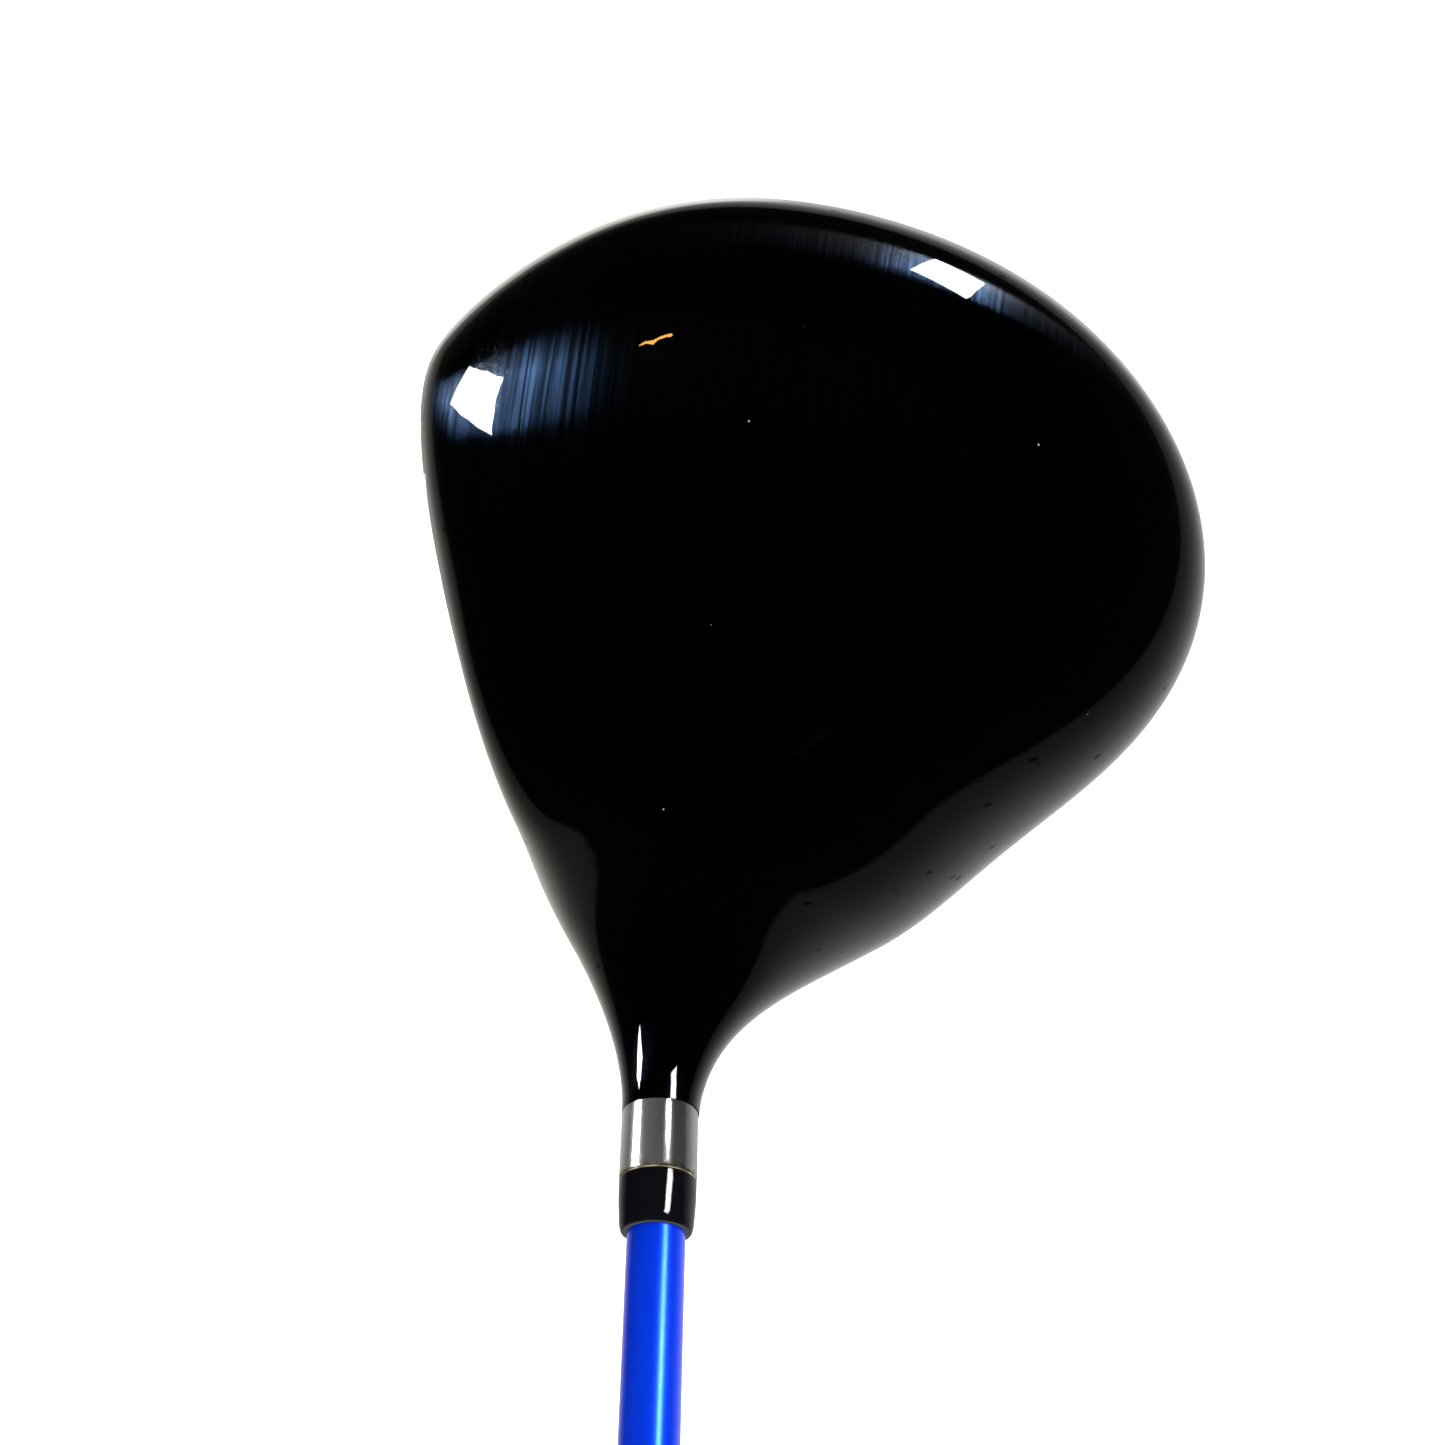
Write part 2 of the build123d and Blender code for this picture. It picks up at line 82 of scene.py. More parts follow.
PLAN_RADII = np.array([67.5, 64.0, 70.0, 74.0, 66.0, 58.5, 55.0, 53.0, 50.5, 51.0, 59.5, 59.5])
SKIRT_HEIGHT = 30.9
CROWN_RISE = 25.7
CROWN_POWER = 2.38
SOLE_POWER = 3.0
SOLE_HEIGHT_POWER = 2.2
SOLE_ROOT = 2.4
FIELD_SCALE = 40.0
FIELD_STEP = 0.02               # distance over which the field's slope is measured
FACE_RADIUS = 300.0
FACE_EDGE = 6.0
RING_FOOT = 69.0
RING_RADIUS = 6.0
NECK_FLARE = 0.039
NECK_FLARE_TOP = 66.0
NECK_BLEND = 28.3
NECK_FOOT = 28.0
NECK_TOP = 80.0

PLAN_WAVES = np.fft.rfft(PLAN_RADII) / len(PLAN_RADII)


def plan_radius(angle):
    radius = np.full_like(angle, PLAN_WAVES[0].real)
    last = len(PLAN_WAVES) - 1
    for order in range(1, last + 1):
        share = 1 if order == last else 2
        wave = PLAN_WAVES[order]
        radius += share * (wave.real * np.cos(order * angle) - wave.imag * np.sin(order * angle))
    return radius


def soft_min(a, b, width):
    share = np.maximum(width - np.abs(a - b), 0) / width
    return np.minimum(a, b) - share**2 * width / 4


def face_field(p):
    rise = p[..., 2] - FACE_CENTRE[2]
    sweep = p[..., 0] ** 2 / (2 * FACE_RADIUS) + rise**2 / (2 * FACE_RADIUS)
    return (FACE_CENTRE[1] + rise * math.tan(LOFT) + sweep - p[..., 1]) * math.cos(LOFT)


def body_field(p):
    spread = np.hypot(p[..., 0], p[..., 1]) / plan_radius(np.arctan2(p[..., 1], p[..., 0]))
    height = p[..., 2] - SKIRT_HEIGHT
    crown = np.sqrt(spread**CROWN_POWER + (height / CROWN_RISE) ** 2)
    depth = np.abs(height) / SKIRT_HEIGHT
    sole = (spread**SOLE_POWER + depth**SOLE_HEIGHT_POWER) ** (1 / SOLE_ROOT)
    gauge = FIELD_SCALE * (np.where(height > 0, crown, sole) - 1)
    return -soft_min(-gauge, -face_field(p), FACE_EDGE)


def neck_field(p):
    along = (p - GROUND) @ AXIS
    off_axis = np.linalg.norm(p - GROUND - along[..., None] * AXIS, axis=-1)
    radius = RING_RADIUS + np.maximum(0, NECK_FLARE_TOP - along) * NECK_FLARE
    return np.maximum(np.maximum(off_axis - radius, along - NECK_TOP), NECK_FOOT - along)


def head_field(p):
    return soft_min(body_field(p), neck_field(p), NECK_BLEND)


def field_slope(field, p):
    parts = []
    for side in np.eye(3) * FIELD_STEP:
        parts.append((field(p + side) - field(p - side)) / (2 * FIELD_STEP))
    return np.stack(parts, axis=-1)


def slope(p):
    """Gradient of the head's field."""
    return field_slope(head_field, p)


def settle(p, rounds=4):
    """Moves points along the field's gradient onto the surface."""
    for _ in range(rounds):
        pull = slope(p)
        p = p - pull * (head_field(p) / (pull**2).sum(axis=-1))[..., None]
    return p


# ---- points on the head: planes that fan round a pivot above the crown, then march to the toe ----

PIVOT_LEVEL = 60.0
CENTRE_DEPTH_NECK = 32.0
CENTRE_DEPTH_BODY = 40.0
CENTRE_Y_BODY = 8.0
TOE_Y = 8.0
UP_LEAN = np.array([-math.sin(LIE), 0, math.cos(LIE)])
PIVOT = GROUND + AXIS * PIVOT_LEVEL + UP_LEAN * CENTRE_DEPTH_NECK
NECK_RINGS = 24
FAN_RINGS = 150
TOE_RINGS = 170
AROUND = 352
MARCH_STEP = 2.0                # coarse step along a ray, then halved to find the surface
HALVINGS = 36


def first_exit(centres, directions):
    """Distance from each centre to where its ray first leaves the head."""
    inside = np.zeros(centres.shape[:-1])
    active = np.ones(inside.shape, bool)
    while active.any():
        ahead = centres[active] + directions[active] * (inside[active] + MARCH_STEP)[:, None]
        still = head_field(ahead) < 0
        grid = np.argwhere(active)
        inside[tuple(grid[still].T)] += MARCH_STEP
        active[tuple(grid[~still].T)] = False
    outside = inside + MARCH_STEP
    for _ in range(HALVINGS):
        middle = (inside + outside) / 2
        within = head_field(centres + directions * middle[..., None]) < 0
        inside = np.where(within, middle, inside)
        outside = np.where(within, outside, middle)
    return inside


def fan_plane(turn):
    """Centres and up directions of planes: turn 0 crosses the neck, turn 1 stands upright."""
    swing = (1 - turn) * LIE
    up = np.stack([-np.sin(swing), np.zeros_like(swing), np.cos(swing)], axis=-1)
    ease = turn**2 * (3 - 2 * turn)
    depth = CENTRE_DEPTH_NECK + (CENTRE_DEPTH_BODY - CENTRE_DEPTH_NECK) * ease
    centre = PIVOT - up * depth[:, None]
    centre[:, 1] = GROUND[1] + (CENTRE_Y_BODY - GROUND[1]) * ease
    return centre, up


def head_rings():
    """Grid of surface points, ring by ring from the neck's top to the toe, and the toe's last point."""
    level = np.linspace(RING_FOOT, PIVOT_LEVEL, NECK_RINGS, endpoint=False)
    neck_up = np.repeat(UP_LEAN[None], NECK_RINGS, axis=0)
    fan_centre, fan_up = fan_plane(np.linspace(0, 1, FAN_RINGS))
    start = np.array([[0, TOE_Y, SKIRT_HEIGHT]])
    toe = start - np.array([[first_exit(start, np.array([[-1.0, 0, 0]]))[0], 0, 0]])
    share = 1 - np.cos(np.linspace(RIGHT_ANGLE, 0, TOE_RINGS, endpoint=False)[1:])
    toe_centre = toe + (fan_centre[-1] - toe) * share[:, None]
    toe_up = np.repeat(np.array([[0, 0, 1.0]]), len(share), axis=0)
    centre = np.concatenate([GROUND + AXIS * level[:, None], fan_centre, toe_centre])
    up = np.concatenate([neck_up, fan_up, toe_up])
    turn = np.linspace(0, 2 * math.pi, AROUND, endpoint=False)
    sideways = np.cos(turn)[None, :, None] * np.array([0, 1.0, 0])
    direction = sideways + up[:, None] * np.sin(turn)[None, :, None]
    origin = np.repeat(centre[:, None], AROUND, axis=1)
    return origin + direction * first_exit(origin, direction)[..., None], toe[0]


rings, toe_point = head_rings()
ring_count = len(rings)
head_points = np.concatenate([rings.reshape(-1, 3), toe_point[None]])
index = np.arange(ring_count * AROUND).reshape(ring_count, AROUND)
after = np.roll(index, -1, axis=1)
head_quads = np.stack([index[:-1], index[1:], after[1:], after[:-1]], axis=-1).reshape(-1, 4)
toe_index = ring_count * AROUND
toe_fan = np.stack([index[-1], np.full(AROUND, toe_index), after[-1], after[-1]], axis=-1)
head_quads = np.concatenate([head_quads, toe_fan])      # a fan's face repeats its last corner


# ---- regions of the head's skin ------------------------------------------------------------------

plate_low, plate_high = grown(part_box("face_plate"))
OUTLINE_GAP = 0.37              # the insert's outline lies this far outside the plate
INSERT_HALF_LENGTH = (plate_high - plate_low)[0] / 2 + OUTLINE_GAP
INSERT_HALF_HEIGHT = 20.0
INSERT_REACH = 12.0             # how far behind the face, or inside the sole, each region still counts
BADGE_REACH = 5.0
POCKET_REACH = 20.0
badge_low, badge_high = grown(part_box("sole_badge"))
BADGE_RADIUS = (badge_high - badge_low)[0] / 2
weight_low, weight_high = grown(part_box("rear_weight"))
WEIGHT_RADIUS = (weight_high - weight_low)[0] / 2
WEIGHT_TILT = math.radians(24.0)
WEIGHT_AXIS = np.array([0, math.sin(WEIGHT_TILT), -math.cos(WEIGHT_TILT)])
WEIGHT_CENTRE = (weight_low + weight_high) / 2
SEAM_HEIGHT = SKIRT_HEIGHT + 1.0
SEAM_BEHIND_FACE = 9.0
SEAM_ROUND_NECK = 18.0
LONGEST_SLIDE = 0.8             # a point moves at most this far at a time to an edge
LEAST_SLOPE = 0.1
TINY = 1e-9
FACE_UP = np.array([0, math.sin(LOFT), math.cos(LOFT)])
FACE_SPHERE_CENTRE = FACE_CENTRE - FACE_AXIS * FACE_RADIUS


def off_line(p, point, direction):
    offset = p - point
    return np.linalg.norm(offset - (offset @ direction)[..., None] * direction, axis=-1)


def insert_region(p):
    """Negative inside the face insert's outline."""
    offset = p - FACE_CENTRE
    gauge = np.hypot(offset[..., 0] / INSERT_HALF_LENGTH, offset @ FACE_UP / INSERT_HALF_HEIGHT) - 1
    return np.maximum(gauge * INSERT_HALF_HEIGHT, -INSERT_REACH - face_field(p))


def badge_region(p):
    return np.maximum(np.hypot(p[..., 0], p[..., 1]) - BADGE_RADIUS, p[..., 2] - BADGE_REACH)


def pocket_region(p):
    height = (p - WEIGHT_CENTRE) @ WEIGHT_AXIS
    return np.maximum(off_line(p, WEIGHT_CENTRE, WEIGHT_AXIS) - WEIGHT_RADIUS, -POCKET_REACH - height)


def crown_region(p):
    """Negative inside the crown's own sheet."""
    behind = np.linalg.norm(p - FACE_SPHERE_CENTRE, axis=-1) - (FACE_RADIUS - SEAM_BEHIND_FACE)
    round_neck = SEAM_ROUND_NECK - off_line(p, GROUND, AXIS)
    return np.maximum(np.maximum(SEAM_HEIGHT - p[..., 2], behind), round_neck)


def snap(points, region):
    """Slides surface points on to the region's edge."""
    for _ in range(4):
        across = field_slope(region, points)
        pull = slope(points)
        normal = pull / np.linalg.norm(pull, axis=-1, keepdims=True)
        across = across - (across * normal).sum(axis=-1, keepdims=True) * normal
        size = np.maximum((across**2).sum(axis=-1), LEAST_SLOPE)
        move = across * (region(points) / size)[..., None]
        length = np.linalg.norm(move, axis=-1, keepdims=True)
        points = settle(points - move * np.minimum(1, LONGEST_SLIDE / np.maximum(length, TINY)), 2)
    return points


def split(points, quads, region):
    """Marks the faces inside a region, and slides the points between the two sets on to its edge."""
    inside = region(points[quads].mean(axis=1)) < 0
    on_edge = np.intersect1d(quads[inside], quads[~inside])
    points[on_edge] = snap(points[on_edge], region)
    return inside


insert_faces = split(head_points, head_quads, insert_region)
badge_faces = split(head_points, head_quads, badge_region)
pocket_faces = split(head_points, head_quads, pocket_region)
crown_faces = split(head_points, head_quads, crown_region)
body_faces = ~(insert_faces | badge_faces | pocket_faces | crown_faces)
head_normals = slope(head_points)
head_normals /= np.linalg.norm(head_normals, axis=1, keepdims=True)


# ---- building meshes -----------------------------------------------------------------------------

def face_tuple(corners):
    """A face without a repeated corner."""
    return tuple(dict.fromkeys(int(corner) for corner in corners))


def piece_from(name, points, faces, normals=None):
    """Object in the scene from points in millimetres, smooth, with its own corner normals if given."""
    mesh = bpy.data.meshes.new(name)
    mesh.from_pydata([tuple(point) for point in (np.asarray(points) * MM)], [], faces)
    mesh.validate(clean_customdata=False)
    mesh.shade_smooth()
    if normals is not None:
        mesh.normals_split_custom_set(normals)
    obj = bpy.data.objects.new(name, mesh)
    bpy.context.scene.collection.objects.link(obj)
    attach(obj, "root")
    return obj


def sheet_piece(name, quads, wall):
    """Closed metal sheet: the outer skin, the same skin set in by the wall, and the rims between."""
    used = np.unique(quads)
    renumber = np.full(len(head_points), -1)
    renumber[used] = np.arange(len(used))
    outer = head_points[used]
    inner = outer - head_normals[used] * wall
    skin = [face_tuple(corners) for corners in renumber[quads]]
    count = len(used)
    lining = [tuple(corner + count for corner in reversed(face)) for face in skin]
    edges = {}
    for face in skin:
        for start, end in zip(face, face[1:] + face[:1]):
            edges[(start, end)] = True
    open_edges = [(start, end) for start, end in edges if (end, start) not in edges]
    rims = [(end, start, start + count, end + count) for start, end in open_edges]
    points = np.concatenate([outer, inner])
    normals = []
    skin_normals = head_normals[used]
    for face in skin:
        normals.extend(tuple(skin_normals[corner]) for corner in face)
    for face in lining:
        normals.extend(tuple(-skin_normals[corner - count]) for corner in face)
    for face in rims:
        a, b, c = (points[corner] for corner in face[:3])
        flat = np.cross(b - a, c - a)
        flat = flat / max(np.linalg.norm(flat), TINY)
        normals.extend([tuple(flat)] * 4)
    return piece_from(name, points, skin + lining + rims, normals)


SHEET_WALL = 0.9
crown = sheet_piece("crown_sheet", head_quads[crown_faces], SHEET_WALL)
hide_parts("crown")
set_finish(crown, "crown_paint")
body = sheet_piece("body_casting", head_quads[body_faces], SHEET_WALL)
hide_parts("head_body")
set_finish(body, "body_paint")


# ---- turned pieces on the shaft's axis -----------------------------------------------------------

SIDE = np.array([0, 1.0, 0])
OTHER = np.cross(AXIS, SIDE)


def rounded(corners, steps=6):
    """Open profile of (radius, along) points from (radius, along, fillet) corners."""
    profile = []
    for position, (radius, along, fillet) in enumerate(corners):
        here = np.array([radius, along])
        if fillet == 0 or position in (0, len(corners) - 1):
            profile.append(here)
            continue
        back = np.array(corners[position - 1][:2]) - here
        ahead = np.array(corners[position + 1][:2]) - here
        first = here + back / np.linalg.norm(back) * fillet
        last = here + ahead / np.linalg.norm(ahead) * fillet
        for share in np.linspace(0, 1, steps + 1):
            profile.append((1 - share) ** 2 * first + 2 * share * (1 - share) * here + share**2 * last)
    return np.array(profile)


def spin(profile, around):
    """Grid of points from a profile turned about the shaft's axis."""
    turn = np.linspace(0, 2 * math.pi, around, endpoint=False)
    radial = np.cos(turn)[:, None] * SIDE + np.sin(turn)[:, None] * OTHER
    return GROUND + profile[:, 1, None, None] * AXIS + profile[:, 0, None, None] * radial[None]


def grid_faces(rows, around, closed):
    """Faces of a grid whose columns wrap round, and whose rows do too when closed."""
    grid = np.arange(rows * around).reshape(rows, around)
    below = grid if closed else grid[:-1]
    above = np.roll(grid, -1, axis=0) if closed else grid[1:]
    quads = np.stack([below, np.roll(below, -1, axis=1), np.roll(above, -1, axis=1), above], axis=-1)
    return [tuple(int(corner) for corner in quad) for quad in quads.reshape(-1, 4)]


def turned_piece(name, corners, around=128, crease=35):
    """Ring-shaped piece from a closed profile of (radius, along, fillet) corners."""
    profile = rounded(corners + [corners[0]])[:-1]
    points = spin(profile, around)
    obj = piece_from(name, points.reshape(-1, 3), grid_faces(len(profile), around, True))
    obj.data.set_sharp_from_angle(angle=math.radians(crease))
    return obj


# ---- the worn brush stroke on the crown ----------------------------------------------------------

STROKE_Y = np.array([2.05, 3.05, 4.1, 4.9, 6.0, 6.95])
STROKE_X = np.array([-40.1, -40.4, -40.2, -40.65, -40.85, -40.85])
STROKE_HALF = np.array([0.1, 0.19, 0.3, 0.17, 0.2, 0.26])
STROKE_STEPS = 70
STROKE_ACROSS = 9
PAINT_PROUD = 0.035
PAINT_UNDER = 0.1
STROKE_END_POWER = 14           # how blunt its ends are
STROKE_ABOVE = SKIRT_HEIGHT + CROWN_RISE * 0.75     # a height from which its points settle on the crown


def stroke_piece():
    """A thin closed film of paint that follows the crown, with rounded ends and a wandering edge."""
    y = np.linspace(STROKE_Y[0], STROKE_Y[-1], STROKE_STEPS)
    ends = np.sqrt(np.clip(1 - np.abs(np.linspace(-1, 1, STROKE_STEPS)) ** STROKE_END_POWER, 0, 1))
    wander = 1 + 0.18 * np.sin(y * 9) * np.sin(y * 4.3)
    half = np.interp(y, STROKE_Y, STROKE_HALF) * ends * wander + 0.01
    x = np.interp(y, STROKE_Y, STROKE_X)
    share = np.linspace(-1, 1, STROKE_ACROSS)
    flat = np.zeros((STROKE_STEPS, STROKE_ACROSS, 3))
    flat[..., 0] = x[:, None] + half[:, None] * share
    flat[..., 1] = y[:, None]
    flat[..., 2] = STROKE_ABOVE
    skin = settle(flat.reshape(-1, 3), 6)
    normals = slope(skin)
    normals /= np.linalg.norm(normals, axis=1, keepdims=True)
    crown_of_paint = PAINT_PROUD * (1 - np.tile(np.abs(share), STROKE_STEPS) ** 3)
    upper = skin + normals * crown_of_paint[:, None]
    lower = skin - normals * PAINT_UNDER
    faces = grid_faces(STROKE_STEPS, STROKE_ACROSS, False)
    grid = np.arange(STROKE_STEPS * STROKE_ACROSS).reshape(STROKE_STEPS, STROKE_ACROSS)
    top = [face for face in faces if abs(face[1] - face[0]) == 1]
    count = grid.size
    bottom = [tuple(corner + count for corner in reversed(face)) for face in top]
    border = list(grid[0]) + list(grid[1:, -1]) + list(grid[-1, -2::-1]) + list(grid[-2:0:-1, 0])
    around = zip(border, border[1:] + border[:1])
    rims = [(int(b), int(a), int(a) + count, int(b) + count) for a, b in around]
    return piece_from("crown_stroke", np.concatenate([upper, lower]), top + bottom + rims)


stroke = stroke_piece()
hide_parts("alignment_mark")
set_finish(stroke, "mark_paint")


# distances along the shaft's axis from the ground, and radii, all as in the frame
HOSEL_TOP = 80.0
TUBE_FOOT = 14.0
TUBE_RADIUS = 5.3
TUBE_BORE = 4.55
RING_EDGE = 0.35
BEAD = 0.15
FERRULE_TOP = HOSEL_TOP + BEAD + 8.2
STOP_TOP = 41.0
SHAFT_TIP = 42.0
TIP_RADIUS = 4.42
TIP_BORE = 2.97
TIP_PARALLEL = 76.0
BUTT_RADIUS = 7.62
BUTT_BORE = 6.72
TAPER_END = 880.0
SHAFT_BUTT = 1152.0
GRIP_MOUTH = 884.0
GRIP_MOUTH_RADIUS = 8.9
GRIP_BUTT_RADIUS = 13.4
TAPE_RADIUS = 7.82
CAP_RADIUS = 14.2
CAP_TOP = SHAFT_BUTT + 3.6
CAP_DOME = 1.6
VENT_RADIUS = 1.5

tube = turned_piece("hosel_ring", [
    (TUBE_BORE, TUBE_FOOT, 0),
    (TUBE_RADIUS, TUBE_FOOT, 0.2),
    (TUBE_RADIUS, RING_FOOT + 0.05, 0),
    (RING_RADIUS - 0.06, RING_FOOT + 0.05, 0.05),
    (RING_RADIUS - 0.02, HOSEL_TOP, RING_EDGE),
    (TUBE_BORE, HOSEL_TOP, 0.1),
])
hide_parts("hosel_tube")
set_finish(tube, "hosel_metal")

bond = turned_piece("resin_bond", [
    (0.01, STOP_TOP, 0),
    (TUBE_BORE, STOP_TOP, 0),
    (TUBE_BORE, HOSEL_TOP, 0),
    (RING_RADIUS - 0.22, HOSEL_TOP - 0.06, 0.04),
    (RING_RADIUS - 0.16, HOSEL_TOP + BEAD + 0.04, 0.04),
    (TIP_RADIUS, HOSEL_TOP + BEAD, 0),
    (TIP_RADIUS, SHAFT_TIP, 0),
    (0.01, SHAFT_TIP, 0),
])
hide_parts("hosel_epoxy")
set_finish(bond, "epoxy")

ferrule_foot = HOSEL_TOP + BEAD
ferrule = turned_piece("ferrule_collar", [
    (TIP_RADIUS, ferrule_foot, 0),
    (RING_RADIUS - 0.05, ferrule_foot, 0.3),
    (RING_RADIUS - 0.1, ferrule_foot + 3.4, 1.2),
    (5.66, FERRULE_TOP - 1.1, 0.5),
    (5.36, FERRULE_TOP, 0.4),
    (TIP_RADIUS, FERRULE_TOP, 0),
])
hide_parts("ferrule")
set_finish(ferrule, "ferrule_plastic")

shaft = turned_piece("shaft_tube", [
    (TIP_BORE, SHAFT_TIP, 0),
    (TIP_RADIUS, SHAFT_TIP, 0.3),
    (TIP_RADIUS, SHAFT_TIP + TIP_PARALLEL, 20),
    (BUTT_RADIUS, TAPER_END, 60),
    (BUTT_RADIUS, SHAFT_BUTT, 0.2),
    (BUTT_BORE, SHAFT_BUTT, 0),
    (BUTT_BORE, TAPER_END, 0),
    (TIP_BORE, SHAFT_TIP + TIP_PARALLEL, 0),
], around=160)
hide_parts("shaft")
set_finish(shaft, "shaft_lacquer")
shaft.visible_glossy = False

cap = turned_piece("grip_end_cap", [
    (VENT_RADIUS, SHAFT_BUTT, 0),
    (CAP_RADIUS - 0.9, SHAFT_BUTT, 0.3),
    (CAP_RADIUS, SHAFT_BUTT + 0.8, 0.5),
    (CAP_RADIUS, CAP_TOP - 0.4, 0.8),
    (CAP_RADIUS * 0.66, CAP_TOP + CAP_DOME * 0.6, 2.5),
    (VENT_RADIUS, CAP_TOP + CAP_DOME, 0.25),
])
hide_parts("grip_cap")
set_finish(cap, "cap_rubber")


# ---- grip: a tapered rubber sleeve with a pressed pattern ----------------------------------------

GRIP_ROWS = 900
GRIP_AROUND = 240
MARKS_AROUND = 26
MARK_PITCH = 3.4
MARK_PRESS = 0.42
PLAIN_MOUTH = 16.0
BAND_PITCH = 52.0
BAND_PLAIN = 5.0
GRIP_LIP = 4.0                  # the mouth fits the bare shaft, and the rest fits the tape


def smooth_step(value):
    value = np.clip(value, 0, 1)
    return value * value * (3 - 2 * value)


def grip_radius(share):
    """Outside radius where share runs from the mouth, 0, to the cap, 1."""
    swell = GRIP_MOUTH_RADIUS + 0.9 * (GRIP_BUTT_RADIUS - GRIP_MOUTH_RADIUS) * share**0.85
    flare = (GRIP_BUTT_RADIUS - swell) * smooth_step((share - 0.93) / 0.07)
    mouth = -0.6 * (1 - smooth_step(share / 0.012))
    return swell + flare + mouth


def pressed(distance, turn):
    """Depth of the pattern: rows of slanted marks between plain bands and rings."""
    row = distance / MARK_PITCH
    shift = 0.5 * (np.floor(row) % 2)
    column = turn / (2 * math.pi) * MARKS_AROUND + shift
    across = (column - np.floor(column) - 0.5) * 2
    along = (row - np.floor(row) - 0.5) * 2
    slant = np.where(np.floor(row) % 2 == 0, 1, -1)
    bar = np.abs(across - 0.45 * slant * along)
    mark = smooth_step((0.34 - bar) / 0.16) * smooth_step((0.8 - np.abs(along)) / 0.25)
    band = (distance - PLAIN_MOUTH) % BAND_PITCH
    plain = smooth_step((BAND_PLAIN - band) / 0.6) + smooth_step((PLAIN_MOUTH - distance) / 0.6)
    ring = smooth_step((0.55 - np.abs(band - BAND_PLAIN / 2)) / 0.35)
    ring = ring + smooth_step((0.5 - np.abs(distance - PLAIN_MOUTH * 0.5)) / 0.35)
    return MARK_PRESS * np.clip(mark * (1 - np.clip(plain, 0, 1)) + ring, 0, 1)


def grip_piece():
    span = SHAFT_BUTT - GRIP_MOUTH
    distance = np.linspace(0, span, GRIP_ROWS)
    turn = np.linspace(0, 2 * math.pi, GRIP_AROUND, endpoint=False)
    radius = grip_radius(distance / span)[:, None] - pressed(distance[:, None], turn[None])
    radial = np.cos(turn)[:, None] * SIDE + np.sin(turn)[:, None] * OTHER
    outside = GROUND + (GRIP_MOUTH + distance)[:, None, None] * AXIS + radius[..., None] * radial[None]
    tape_start = GRIP_MOUTH + GRIP_LIP
    bore = np.array([[TAPE_RADIUS, SHAFT_BUTT], [TAPE_RADIUS, tape_start],
                     [BUTT_RADIUS, tape_start], [BUTT_RADIUS, GRIP_MOUTH]])
    points = np.concatenate([outside, spin(bore, GRIP_AROUND)])
    obj = piece_from("grip_sleeve", points.reshape(-1, 3), grid_faces(len(points), GRIP_AROUND, True))
    obj.data.set_sharp_from_angle(angle=math.radians(50))
    return obj


grip = grip_piece()
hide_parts("grip")
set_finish(grip, "grip_rubber")


# ---- materials: a small helper that adds nodes and links them ------------------------------------

